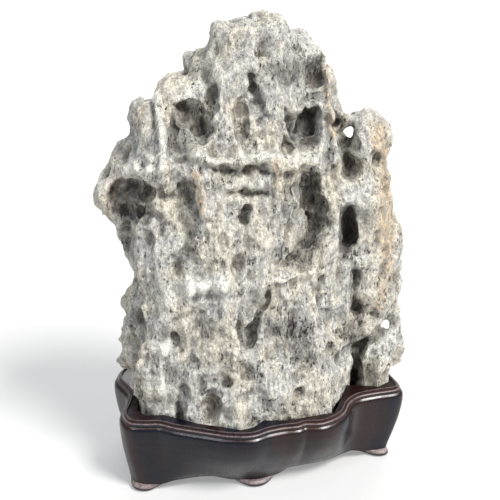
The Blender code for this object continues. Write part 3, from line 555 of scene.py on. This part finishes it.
# The studio
WHITE = (1.0, 1.0, 1.0, 1.0)
FLOOR_HALF = 6000.0
FLOOR_GREY = 0.42
FLOOR_GLOW = 0.29
FLOOR_ROUGHNESS = 0.6
FLOOR_SPECULAR = 0.2
DOME_STRENGTH = 0.36
# The lamps, each far off: name, direction, strength, how wide it looks in degrees, colour
LAMPS = (
    ("key", (0.40, -0.50, 0.80), 4.6, 20, (1, 0.99, 0.97)),
    ("left", (-0.50, -0.40, 0.76), 0.7, 12, (0.82, 0.91, 1)),
    ("back", (0.35, 0.87, 0.50), 2, 50, (1, 1, 1)),
)
LAMP_DISTANCE = 2000.0


def new_object(name, data):
    obj = bpy.data.objects.new(name, data)
    bpy.context.scene.collection.objects.link(obj)
    return obj


def smooth(value):
    value = np.clip(value, 0.0, 1.0)
    return value * value * (3.0 - 2.0 * value)


def rows_of(items, name):
    """A vector that each of the items has, one row each."""
    rows = np.empty(len(items) * 3)
    items.foreach_get(name, rows)
    return rows.reshape(-1, 3)


def points_of(mesh):
    """The mesh's points in millimetres."""
    return rows_of(mesh.vertices, "co") / MM


def set_points(mesh, points):
    mesh.vertices.foreach_set("co", (points * MM).ravel())
    mesh.update()


def normals_of(mesh):
    return rows_of(mesh.vertex_normals, "vector")


def bake(obj):
    """Turns the object's modifiers into its mesh."""
    graph = bpy.context.evaluated_depsgraph_get()
    mesh = bpy.data.meshes.new_from_object(obj.evaluated_get(graph))
    obj.modifiers.clear()
    obj.data = mesh


def remesh(obj, voxel):
    modifier = obj.modifiers.new("Voxels", "REMESH")
    modifier.mode = "VOXEL"
    modifier.voxel_size = voxel * MM
    bake(obj)


def cut(obj, cutters):
    """Takes the cutters' shapes from the object's, and then removes the cutters."""
    for cutter in cutters:
        modifier = obj.modifiers.new(cutter.name, "BOOLEAN")
        modifier.operation = "DIFFERENCE"
        modifier.solver = "EXACT"
        modifier.object = cutter
    bake(obj)
    for cutter in cutters:
        bpy.data.objects.remove(cutter)


def lofted(name, rings):
    """A closed mesh through rings of equal length, capped at both ends."""
    shape = bmesh.new()
    loops = [[shape.verts.new(Vector(point) * MM) for point in ring] for ring in rings]
    for upper, lower in zip(loops, loops[1:]):
        for side in range(len(upper)):
            following = (side + 1) % len(upper)
            shape.faces.new((upper[side], upper[following], lower[following], lower[side]))
    shape.faces.new(loops[0])
    shape.faces.new(loops[-1])
    bmesh.ops.recalc_face_normals(shape, faces=shape.faces)
    mesh = bpy.data.meshes.new(name)
    shape.to_mesh(mesh)
    shape.free()
    return mesh


# ---- The stone ----


def lattice_value(cell, seed):
    """A repeatable number from -1 to 1 for each whole-numbered cell."""
    hashed = (cell * CELL_PRIMES).sum(axis=1)
    hashed = (hashed + seed * SEED_PRIME) & 0xFFFFFFFF
    hashed = ((hashed ^ (hashed >> 13)) * SEED_PRIME) & 0xFFFFFFFF
    return ((hashed ^ (hashed >> 16)) & 0xFFFF) / 32767.5 - 1.0


def lump_noise(points, across, up, seed):
    """Smooth noise from -1 to 1, with lumps of this size across and up."""
    place = points / (across, across, up) + NOISE_START + seed * NOISE_STEP
    cell = np.floor(place).astype(np.int64)
    part = smooth(place - cell)
    total = np.zeros(len(points))
    for corner in np.ndindex(2, 2, 2):
        weight = np.where(corner, part, 1.0 - part).prod(axis=1)
        total += weight * lattice_value(cell + corner, seed)
    return total


def crested(points, across, up, rise, crest, seed):
    """The height of one size of lumps, drawn out to crests by a share."""
    lump = lump_noise(points, across, up, seed)
    return rise * (crest * (CREST_TOP - CREST_FALL * np.abs(lump)) + (1.0 - crest) * lump)


def along_sight(x, z, from_depth, to_depth):
    """Moves a place to another depth along the line of sight."""
    share = (to_depth - EYE[1]) / (from_depth - EYE[1])
    return EYE[0] + (x - EYE[0]) * share, EYE[2] + (z - EYE[2]) * share


def rim_depth(x):
    return RIM_DEPTH + RIM_TURN * x


def sheet_depth(z):
    return SHEET_FOOT[1] + (z - SHEET_FOOT[0]) * SHEET_SLOPE


def true_outline():
    """The outline carried back or forward from its drawing plane to the rim."""
    return [along_sight(x, z, OUTLINE_DEPTH, rim_depth(x)) for x, z in OUTLINE]


def distance_to_stroke(x, z, stroke):
    """How far each place is from the stroke, as a share of its reach there."""
    if len(stroke) == 1:
        return np.hypot(x - stroke[0][0], z - stroke[0][1]) / stroke[0][2]
    nearest = np.full(len(x), np.inf)
    for (ax, az, a_reach), (bx, bz, b_reach) in zip(stroke, stroke[1:]):
        length = math.hypot(bx - ax, bz - az)
        share = ((x - ax) * (bx - ax) + (z - az) * (bz - az)) / length**2
        share = np.clip(share, 0.0, 1.0)
        away = np.hypot(x - ax - share * (bx - ax), z - az - share * (bz - az))
        nearest = np.minimum(nearest, away / (a_reach + share * (b_reach - a_reach)))
    return nearest


def relief(x, z, strokes):
    """The summed depth of all strokes at each place."""
    depth = np.zeros(len(x))
    for stroke_depth, form, *stroke in strokes:
        share = distance_to_stroke(x, z, stroke)
        depth += stroke_depth * (1.0 - np.clip(share, 0.0, 1.0) ** form) ** 2
    return depth


def section_depth(sections, x, z):
    """The depth of the face or back, blended between its hull sections."""
    heights = [height for height, _ in sections]
    rows = np.array([np.interp(x, *zip(*row)) for _, row in sections])
    place = np.interp(z, heights, range(len(heights)))
    lower = np.minimum(place.astype(int), len(heights) - 2)
    part = smooth(place - lower)
    column = np.arange(len(x))
    return rows[lower, column] * (1.0 - part) + rows[lower + 1, column] * part


def distance_to_outline(x, z):
    outline = true_outline()
    ring = [(px, pz, 1.0) for px, pz in outline + outline[:1]]
    return distance_to_stroke(x, z, ring)


def edge_fullness(x, z, away):
    """The slab's share of its full depth at this distance from its outline."""
    boxy = smooth((BOXY_FROM[0] - x) / BOXY_FADE[0]) * smooth((BOXY_FROM[1] - z) / BOXY_FADE[1])
    start = EDGE_START[0] + (EDGE_START[1] - EDGE_START[0]) * boxy
    reach = EDGE_REACH[0] + (EDGE_REACH[1] - EDGE_REACH[0]) * boxy
    part = np.clip(away / reach, 0.0, 1.0)
    return start + (1.0 - start) * np.sqrt(1.0 - (1.0 - part) ** 2)


def stone_block():
    """The outline as a flat slab, remeshed to even voxels."""
    rings = [[(x, y, z) for x, z in true_outline()] for y in (-BLOCK_HALF, BLOCK_HALF)]
    stone = new_object("stone_skin", lofted("stone_skin", rings))
    remesh(stone, BLOCK_VOXEL)
    return stone


def hull_points(points):
    """Bends the flat slab to the stone's sections."""
    x, y, z = points.T
    fullness = edge_fullness(x, z, distance_to_outline(x, z))
    rim = rim_depth(x)
    face, back = (section_depth(sections, x, z) for sections in (FACE_SECTIONS, BACK_SECTIONS))
    sheet = np.where(y < 0.0, face, back)
    share = np.clip(np.abs(y) / BLOCK_HALF, 0.0, 1.0)
    return np.column_stack((x, rim + (sheet - rim) * share * fullness, z))


def warped(points, x, z):
    """The places swayed, so that strokes of few points come out craggy."""
    for across, up, sway, seed in WARPS:
        x = x + sway * lump_noise(points, across, up, seed)
        z = z + sway * lump_noise(points, across, up, seed + 50)
    return x, z


def on_sheet(points):
    """Where the line of sight through each point meets the sheet."""
    x, y, z = points.T
    return along_sight(x, z, y, sheet_depth(z))


def carved_points(points, front):
    """Sinks the hollows and raises the crests of the face and of the back."""
    x, y, z = points.T
    face = relief(*warped(points, *on_sheet(points)), FACE_RELIEF)
    back = relief(*warped(points, x, z), BACK_RELIEF)
    return np.column_stack((x, y + np.where(front, face, -back), z))


def flanked_points(points, normals):
    """Sinks the hollows and raises the crests of the left flank."""
    x, y, z = points.T
    turned = (-normals[:, 0] - FLANK_TURN[0]) / (FLANK_TURN[1] - FLANK_TURN[0])
    depth = relief(*warped(points, y, z), FLANK_RELIEF) * smooth(turned) * (x < 0.0)
    return np.column_stack((x + depth, y, z))


def roughened_points(points, normals):
    """Raises lumps along the normals, higher on the back, which has fewer strokes."""
    height = np.zeros(len(points))
    x, y, z = points.T
    away = np.hypot(distance_to_outline(x, z), y - rim_depth(x))
    calm = RIM_CALM + (1.0 - RIM_CALM) * smooth(away / RIM_REACH)
    for size, *lumps in LUMPS:
        raised = crested(points, size, *lumps)
        height += raised * calm if size > WIDE_LUMP else raised
    height *= 1.0 + (BACK_LUMPS - 1.0) * smooth(normals[:, 1] - BACK_FROM)
    return points + normals * height[:, None]


def nearest_on_ring(x, y, ring):
    """Whether each place is outside the ring, and the ring's point nearest to it."""
    crossings = np.zeros(len(x), int)
    nearest = np.full(len(x), np.inf)
    edge = np.zeros((len(x), 2))
    for (ax, ay), (bx, by) in zip(ring, ring[1:] + ring[:1]):
        spans = (ay > y) != (by > y)
        crossings += spans & (x < ax + (y - ay) * (bx - ax) / (by - ay or 1.0))
        share = ((x - ax) * (bx - ax) + (y - ay) * (by - ay)) / ((bx - ax) ** 2 + (by - ay) ** 2)
        share = np.clip(share, 0.0, 1.0)
        foot = np.column_stack((ax + share * (bx - ax), ay + share * (by - ay)))
        away = np.hypot(x - foot[:, 0], y - foot[:, 1])
        edge[away < nearest] = foot[away < nearest]
        nearest = np.minimum(nearest, away)
    return crossings % 2 == 0, edge


def tucked_points(points):
    """Draws the foot of the stone in to its footprint, fully up to TUCK_TOP."""
    low = np.flatnonzero(points[:, 2] < TUCK_TOP + TUCK_FADE)
    outside, edge = nearest_on_ring(points[low, 0], points[low, 1], FOOTPRINT)
    low, edge = low[outside], edge[outside]
    share = 1.0 - smooth((points[low, 2] - TUCK_TOP) / TUCK_FADE)
    points[low, :2] += (edge - points[low, :2]) * share[:, None]
    return points


def window_cutter(number, x, z, radius):
    """A rough rod along the line of sight through a place on the sheet."""
    middle = Vector((x, sheet_depth(z), z))
    turn = (middle - Vector(EYE)).to_track_quat("Z", "Y")
    rings = []
    for end in (-WINDOW_START, WINDOW_REACH):
        ring = []
        for side in range(WINDOW_SIDES):
            angle = math.tau * side / WINDOW_SIDES
            reach = radius * (1.0 + WINDOW_ROUGH * math.sin(WINDOW_BULGES * angle + number))
            spoke = Vector((reach * math.cos(angle), reach * math.sin(angle), end))
            ring.append(middle + turn @ spoke)
        rings.append(ring)
    name = f"window_cutter_{number}"
    return new_object(name, lofted(name, rings))


def footprint_prism(name, play, low, high):
    """The footprint with its edge moved outward by the play, between two heights."""
    points = [Vector(point) for point in FOOTPRINT]
    ring = []
    for before, point, after in zip(points[-1:] + points, points, points[1:] + points[:1]):
        along = (after - before).normalized()
        ring.append(point + play * Vector((along.y, -along.x)))
    rings = [[(*point, height) for point in ring] for height in (low, high)]
    return new_object(name, lofted(name, rings))


def pit_depths(points):
    """How far each place sinks in the pits, of each size the deepest that reaches it."""
    total = np.zeros(len(points))
    for across, up, share, depth, seed in PITS:
        bend = np.column_stack([
            lump_noise(points, across * PIT_BEND, up * PIT_BEND, seed + 90 + axis)
            for axis in range(3)
        ])
        place = points / (across, across, up) + PIT_START + PIT_STRAY * bend
        home = np.floor(place).astype(np.int64)
        deepest = np.zeros(len(points))
        for step in np.ndindex(3, 3, 3):
            cell = home + step - 1
            offset = np.column_stack([lattice_value(cell, seed + 7 * axis) for axis in range(3)])
            size = 0.5 + 0.5 * lattice_value(cell, seed + 31)
            radius = PIT_RADIUS[0] + (PIT_RADIUS[1] - PIT_RADIUS[0]) * size
            away = np.linalg.norm(place - cell - 0.5 - PIT_SCATTER * offset, axis=1) / radius
            bowl = (1.0 - np.clip(away, 0.0, 1.0) ** 2) * (PIT_LEAST + (1.0 - PIT_LEAST) * size)
            present = lattice_value(cell, seed + 53) < 2.0 * share - 1.0
            deepest = np.maximum(deepest, np.where(present, bowl, 0.0))
        total += depth * deepest
    return total


def skin_points(points, normals):
    """Adds the pits, the grain and the eased hollows; in its seat the stone is only sunk."""
    calm = 1.0 - PALE_CALM * np.clip(relief(*on_sheet(points), PALE_AND_LIT_STROKES), 0.0, 1.0)
    front = smooth(SKIN_TURN - normals[:, 1])
    calm = 1.0 + (calm - 1.0) * front
    height = -pit_depths(points)
    for lumps in GRAIN:
        height += crested(points, *lumps)
    height *= calm
    height -= relief(*warped(points, *on_sheet(points)), EASE_RELIEF) * front
    free = smooth((points[:, 2] - SKIN_FREE) / SKIN_FADE)
    return points + normals * np.minimum(height, free * height)[:, None]


def seated_points(points):
    """Flattens the foot of the stone, inside its footprint, where it stands in the seat."""
    points = tucked_points(points)
    points[:, 2] = np.maximum(points[:, 2], STONE_FOOT)
    return points


def averaged(values, ends, rounds):
    """The values, each taken halfway to its neighbours' mean, over and over."""
    start, end = np.concatenate((ends, ends[:, ::-1])).T
    count = np.bincount(start)[:, None]
    for _ in range(rounds):
        total = np.column_stack([np.bincount(start, column[end]) for column in values.T])
        values = 0.5 * values + 0.5 * total / count
    return values


def sunkenness(mesh, rounds):
    """How far each point lies below its neighbourhood, in millimetres."""
    points = points_of(mesh)
    ends = np.empty(len(mesh.edges) * 2, np.int32)
    mesh.edges.foreach_get("vertices", ends)
    lifted = averaged(points, ends.reshape(-1, 2), rounds) - points
    return (lifted * normals_of(mesh)).sum(axis=1)


def store(mesh, name, values):
    attribute = mesh.attributes.new(name, "FLOAT", "POINT")
    attribute.data.foreach_set("value", values.astype(np.float32))


def mark_stone(mesh):
    """Stores what the stone's material reads: how sunk each place is, for painted shade in
    hollows and painted light on crests, and its tints, some of which are painted light and shade.
    """
    points, normals = points_of(mesh), normals_of(mesh)
    front = smooth(TINT_TURN - normals[:, 1])
    x, z = warped(points, *on_sheet(points))
    store(mesh, "near_shade_and_light", sunkenness(mesh, NEAR_ROUNDS))
    store(mesh, "wide", sunkenness(mesh, WIDE_ROUNDS))
    face = relief(x, z, FACE_RELIEF + EASE_RELIEF)
    back = relief(*warped(points, points[:, 0], points[:, 2]), BACK_RELIEF)
    store(mesh, "hollow_shade", np.where(normals[:, 1] < 0.0, face, back))
    for name, strokes in (("warm", WARM_STROKES), ("pale", PALE_AND_LIT_STROKES), ("dark", DARK_AND_SHADE_STROKES)):
        store(mesh, name, relief(x, z, strokes) * front)


def make_stone():
    stone = stone_block()
    front = points_of(stone.data)[:, 1] < 0.0
    points = carved_points(hull_points(points_of(stone.data)), front)
    set_points(stone.data, points)
    remesh(stone, FORM_VOXEL)
    set_points(stone.data, flanked_points(points_of(stone.data), normals_of(stone.data)))
    points = roughened_points(points_of(stone.data), normals_of(stone.data))
    set_points(stone.data, tucked_points(points))
    remesh(stone, SKIN_VOXEL)
    cut(stone, [window_cutter(number, *window) for number, window in enumerate(WINDOWS, 1)])
    set_points(stone.data, skin_points(points_of(stone.data), normals_of(stone.data)))
    thin = stone.modifiers.new("Fewer faces", "DECIMATE")
    thin.ratio = STONE_TRIANGLES / sum(len(face.vertices) - 2 for face in stone.data.polygons)
    bake(stone)
    set_points(stone.data, seated_points(points_of(stone.data)))
    stone.data.shade_smooth()
    mark_stone(stone.data)
    return stone


# ---- The stand and its pads ----


def curve_point(points, place):
    """A point on the smooth closed curve through the points; place counts in points."""
    index = math.floor(place)
    part = place - index
    before, start, end, after = (
        Vector(points[(index + step) % len(points)]) for step in (-1, 0, 1, 2)
    )
    bend = 2.0 * before - 5.0 * start + 4.0 * end - after
    twist = 3.0 * (start - end) + after - before
    return start + 0.5 * part * ((end - before) + part * (bend + part * twist))


def plan_point(level, place, outward=0.0):
    """A point on the rim's plan (level 0), the base's (level 1) or between, moved outward."""
    plan = [Vector(row[:2]).lerp(Vector(row[2:]), level) for row in STAND_PLAN]
    along = curve_point(plan, place + PLAN_NUDGE) - curve_point(plan, place - PLAN_NUDGE)
    along.normalize()
    return curve_point(plan, place) + outward * Vector((along.y, -along.x))


def inner_point(place, width):
    """A point inside the base's plan, this far from its edge towards the stand's spine."""
    edge = plan_point(1.0, place)
    left, right = SPINE_ENDS
    spine = Vector((min(max(edge.x, left), right), SPINE_DEPTH))
    return edge + width * (spine - edge).normalized()


def arch(place):
    """How far the wall's lower edge rises at this place: nothing over a foot."""
    stations = len(STAND_PLAN)
    free = ARCH_EASE
    for start, end in FEET.values():
        away = abs(place - (start + end) / 2.0) % stations
        free = min(free, min(away, stations - away) - (end - start) / 2.0)
    return ARCH_RISE * float(smooth(free / ARCH_EASE))


def stand_rings(steps):
    """The stand's rings of points, from the ledge inside the rim down to its underside."""
    places = [step / steps for step in range(len(STAND_PLAN) * steps)]
    rises = [arch(place) for place in places]
    rings = []
    for outward, height in MOULDING:
        rings.append([(*plan_point(0.0, place, outward), height) for place in places])
    for level, outward, height in WALL:
        share = max(0.0, level - ARCH_FROM) / (1.0 - ARCH_FROM)
        rings.append([
            (*plan_point(level, place, outward), height + share * rise)
            for place, rise in zip(places, rises)
        ])
    inner = [inner_point(place, WALL_WIDTH) for place in places]
    rings.append([(*point, STAND_BASE + rise) for point, rise in zip(inner, rises)])
    rings.append([(*point, UNDERSIDE) for point in inner])
    return rings


def lined(outward, height, lines, above):
    """How strongly lines that run round the rim show at each place."""
    total = np.zeros(len(outward))
    for middle, width, strength in lines:
        total += strength * smooth(1.0 - np.abs(outward - middle) / width)
    return total * (height > above)


def mark_stand(mesh):
    """Stores where the stand's lacquer is worn, and where a reflection of the sky is painted
    along its beads, measured from its rim.
    """
    points = points_of(mesh)
    places = [step / PLAN_STEPS for step in range(len(STAND_PLAN) * PLAN_STEPS)]
    ring = [tuple(plan_point(0.0, place)) for place in places]
    outside, edge = nearest_on_ring(points[:, 0], points[:, 1], ring)
    away = np.hypot(points[:, 0] - edge[:, 0], points[:, 1] - edge[:, 1])
    outward = np.where(outside, away, -away)
    store(mesh, "worn_and_sheen", lined(outward, points[:, 2], WORN_AND_SHEEN_LINES, WORN_AND_SHEEN_ABOVE))
    store(mesh, "rubbed", lined(outward, points[:, 2], RUBBED_LINES, RUBBED_ABOVE))


def make_stand():
    stand = new_object("stand_carved", lofted("stand_carved", stand_rings(PLAN_STEPS)))
    cut(stand, [footprint_prism("seat_cutter", SEAT_PLAY, SEAT_FLOOR, TUCK_TOP + SEAT_CUT_RISE)])
    stand.data.shade_smooth()
    stand.data.set_sharp_from_angle(angle=SHARP_ANGLE)
    mark_stand(stand.data)
    return stand


def foot_ring(start, end, outward, height):
    """One level of a foot: along its outer edge, which draws in at its ends, and back inside."""
    outer, inner = [], []
    for step in range(FOOT_STEPS + 1):
        share = step / FOOT_STEPS
        place = start + (end - start) * share
        turn = abs(2.0 * share - 1.0) ** FOOT_BLUNT
        reach = outward * (1.0 - turn) - FOOT_TUCK * turn * (1.0 - height / FOOT_TOP)
        outer.append((*plan_point(1.0, place, reach), height))
        inner.append((*inner_point(place, FOOT_WIDTH * (1.0 - FOOT_POINT * turn)), height))
    return outer + inner[::-1]


def make_foot(name, start, end):
    """A low pad under the wall's edge, with a bevelled ledge."""
    rings = [foot_ring(start, end, outward, height) for outward, height in FOOT_PROFILE]
    pad = new_object(name, lofted(name, rings))
    pad.data.shade_smooth()
    pad.data.set_sharp_from_angle(angle=SHARP_ANGLE)
    # painted reflection of the sky on the foot's upper bevel
    low, high = FOOT_SHEEN
    store(pad.data, "worn_and_sheen", smooth((points_of(pad.data)[:, 2] - low) / (high - low)))
    return pad


# ---- Materials ----


def wired(tree, node, inputs):
    """Links each of the node's inputs to a socket, or sets it to a value."""
    for name, value in inputs.items():
        if isinstance(value, bpy.types.NodeSocket):
            tree.links.new(value, node.inputs[name])
        else:
            node.inputs[name].default_value = value


def added(tree, kind, inputs, **settings):
    """A new node with these inputs and settings."""
    node = tree.nodes.new(kind)
    for name, value in settings.items():
        setattr(node, name, value)
    wired(tree, node, inputs)
    return node


def noise(tree, across, up, detail, roughness, distort):
    """Noise over the piece itself, with lumps of this size in millimetres."""
    place = added(tree, "ShaderNodeTexCoord", {}).outputs["Object"]
    scale = (1.0 / (across * MM), 1.0 / (across * MM), 1.0 / (up * MM))
    mapping = added(tree, "ShaderNodeMapping", {"Vector": place, "Scale": scale})
    inputs = {"Vector": mapping.outputs["Vector"], "Scale": 1.0, "Detail": detail,
              "Roughness": roughness, "Distortion": distort}
    return added(tree, "ShaderNodeTexNoise", inputs).outputs["Fac"]


def stepped(tree, value, *limits):
    """The value's smooth step; its limits are a low and a high value, and their results."""
    inputs = dict(zip(("From Min", "From Max", "To Min", "To Max"), limits), Value=value)
    node = added(tree, "ShaderNodeMapRange", inputs, interpolation_type="SMOOTHSTEP")
    return node.outputs["Result"]


def calculated(tree, operation, first, second):
    node = added(tree, "ShaderNodeMath", {0: first, 1: second}, operation=operation)
    return node.outputs["Value"]


def masked(tree, masks, steps, operation="MULTIPLY"):
    """The product, or the sum, of the named masks, each stepped if it has limits."""
    total = None
    for name, *limits in steps:
        value = stepped(tree, masks[name], *limits) if limits else masks[name]
        total = value if total is None else calculated(tree, operation, total, value)
    return total


def mixed(tree, share, first, second):
    """A mix of two colours; the first has its alpha, or is a socket."""
    inputs = {MIX_SHARE: share, MIX_FIRST: first, MIX_SECOND: (*second, 1.0)}
    return added(tree, "ShaderNodeMix", inputs, data_type="RGBA").outputs[MIX_RESULT]


def toned(tree, colour, tone):
    """The colour made lighter or darker by a factor."""
    inputs = {0: colour, "Scale": tone}
    return added(tree, "ShaderNodeVectorMath", inputs, operation="SCALE").outputs["Vector"]


def tinted(tree, masks, colour, tints):
    """The colour with the tints laid over it in turn, each by the product of its masks."""
    for tint, *steps in tints:
        colour = mixed(tree, masked(tree, masks, steps), colour, tint)
    return colour


def bumped(tree, height, distance, strength=1.0):
    inputs = {"Height": height, "Distance": distance * MM, "Strength": strength}
    return added(tree, "ShaderNodeBump", inputs).outputs["Normal"]


def new_material(name, noises=(), attributes=()):
    """A material, its tree and shader, and its masks: the noises and the mesh's attributes."""
    material = bpy.data.materials.new(name)
    material.use_nodes = True
    tree = material.node_tree
    masks = {key: noise(tree, *noises[key]) for key in noises}
    for key in attributes:
        masks[key] = added(tree, "ShaderNodeAttribute", {}, attribute_name=key).outputs["Fac"]
    return material, tree, tree.nodes["Principled BSDF"], masks


def stone_material():
    attributes = ("near_shade_and_light", "wide", "warm", "pale", "dark", "hollow_shade")
    material, tree, shader, masks = new_material("stone_skin", STONE_NOISES, attributes)
    # The crests' mask, for the painted light on them
    masks["lifted"] = calculated(tree, "MULTIPLY", masks["near_shade_and_light"], -1.0)
    colour = tinted(tree, masks, STONE_GREY, STONE_TINTS_LIGHT_AND_SHADE)
    # painted shade in dents and hollows and painted light on bumps and crests, over the grain's
    # own tones
    colour = toned(tree, colour, masked(tree, masks, STONE_TONES_AND_SHADE))
    limit = masked(tree, masks, SLIT_LIMIT, "ADD")
    sunk = calculated(tree, "SUBTRACT", limit, masks["slits"])
    masks["slit"] = stepped(tree, sunk, 0.0, SLIT_EDGE)
    colour = tinted(tree, masks, colour, (SLIT_TINT,))
    height = calculated(tree, "SUBTRACT", masks["fibres"], masks["slit"])
    fine = calculated(tree, "MULTIPLY", masks["grains"], GRAIN_SHARE)
    height = calculated(tree, "ADD", height, fine)
    wired(tree, shader, {
        "Base Color": colour,
        "Roughness": STONE_ROUGHNESS,
        "Specular IOR Level": STONE_SPECULAR,
        "Normal": bumped(tree, height, STONE_BUMP),
    })
    return material


def wood_material():
    material, tree, shader, masks = new_material("rosewood", WOOD_NOISES, ("worn_and_sheen", "rubbed"))
    worn_and_sheen = calculated(tree, "MULTIPLY", masked(tree, masks, WOOD_WEAR_AND_SHEEN), WEAR_ROUGHNESS)
    wired(tree, shader, {
        # the pale beads and foot bevels: a painted reflection of the sky, with worn lacquer on
        # the beads
        "Base Color": tinted(tree, masks, WOOD_BLACK, WOOD_TINTS),
        "Roughness": calculated(tree, "ADD", masked(tree, masks, (WOOD_GLOSS,)), worn_and_sheen),
        "Specular IOR Level": WOOD_SPECULAR,
        "Normal": bumped(tree, masks["pores"], PORE_BUMP, PORE_STRENGTH),
    })
    return material


# ---- The frame, the studio and the camera ----


def shift_to_frame():
    """From the places used here to the frame, read from where the frame holds the stand."""
    points = np.array([point for ring in stand_rings(CAD_PLAN_STEPS) for point in ring])
    low, high = points.min(axis=0), points.max(axis=0)
    box_low, box_high = (np.array(corner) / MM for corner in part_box("stand"))
    return Vector((box_low + box_high - low - high) / 2.0)


def dress(piece, material, node, shift):
    """Puts a finished piece in the frame, where it stands for its node."""
    piece.data.materials.clear()
    piece.data.materials.append(material)
    piece.data.transform(Matrix.Translation(shift * MM))
    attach(piece, "root")
    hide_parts(node)


def make_floor():
    material, tree, shader, _ = new_material("floor_white")
    wired(tree, shader, {
        "Base Color": (FLOOR_GREY, FLOOR_GREY, FLOOR_GREY, 1.0),
        "Roughness": FLOOR_ROUGHNESS,
        "Specular IOR Level": FLOOR_SPECULAR,
        "Emission Color": WHITE,
        "Emission Strength": FLOOR_GLOW,
    })
    bpy.ops.mesh.primitive_plane_add(size=2.0 * FLOOR_HALF * MM)
    floor = bpy.context.object
    floor.name = "floor"
    floor.data.materials.append(material)


def make_lights():
    world = bpy.data.worlds.new("studio")
    bpy.context.scene.world = world
    world.use_nodes = True
    background = world.node_tree.nodes["Background"]
    wired(world.node_tree, background, {"Color": WHITE, "Strength": DOME_STRENGTH})
    for name, direction, strength, angle, colour in LAMPS:
        lamp = bpy.data.lights.new(name, "SUN")
        lamp.energy = strength
        lamp.angle = math.radians(angle)
        lamp.color = colour
        obj = new_object(name, lamp)
        towards = Vector(direction).normalized()
        obj.location = LAMP_DISTANCE * towards * MM
        obj.rotation_euler = towards.to_track_quat("Z", "Y").to_euler()


def make_camera(shift):
    camera = bpy.data.cameras.new("camera")
    camera.lens = CAMERA_LENS
    camera.shift_y = CAMERA_SHIFT
    eye = new_object("camera", camera)
    azimuth, elevation = math.radians(CAMERA_AZIMUTH), math.radians(CAMERA_ELEVATION)
    back = Vector((
        math.sin(azimuth) * math.cos(elevation),
        -math.cos(azimuth) * math.cos(elevation),
        math.sin(elevation),
    ))
    level = Vector((shift.x, shift.y, 0.0))
    eye.location = (Vector(CAMERA_AIM) + level + CAMERA_DISTANCE * back) * MM
    eye.rotation_euler = back.to_track_quat("Z", "Y").to_euler()
    bpy.context.scene.camera = eye


def main():
    shift = shift_to_frame()
    bpy.context.scene.view_settings.view_transform = "Standard"
    make_camera(shift)
    make_floor()
    make_lights()
    dress(make_stone(), stone_material(), "stone", shift)
    wood = wood_material()
    dress(make_stand(), wood, "stand", shift)
    for name, (start, end) in FEET.items():
        dress(make_foot(name + "_pad", start, end), wood, name, shift)


main()
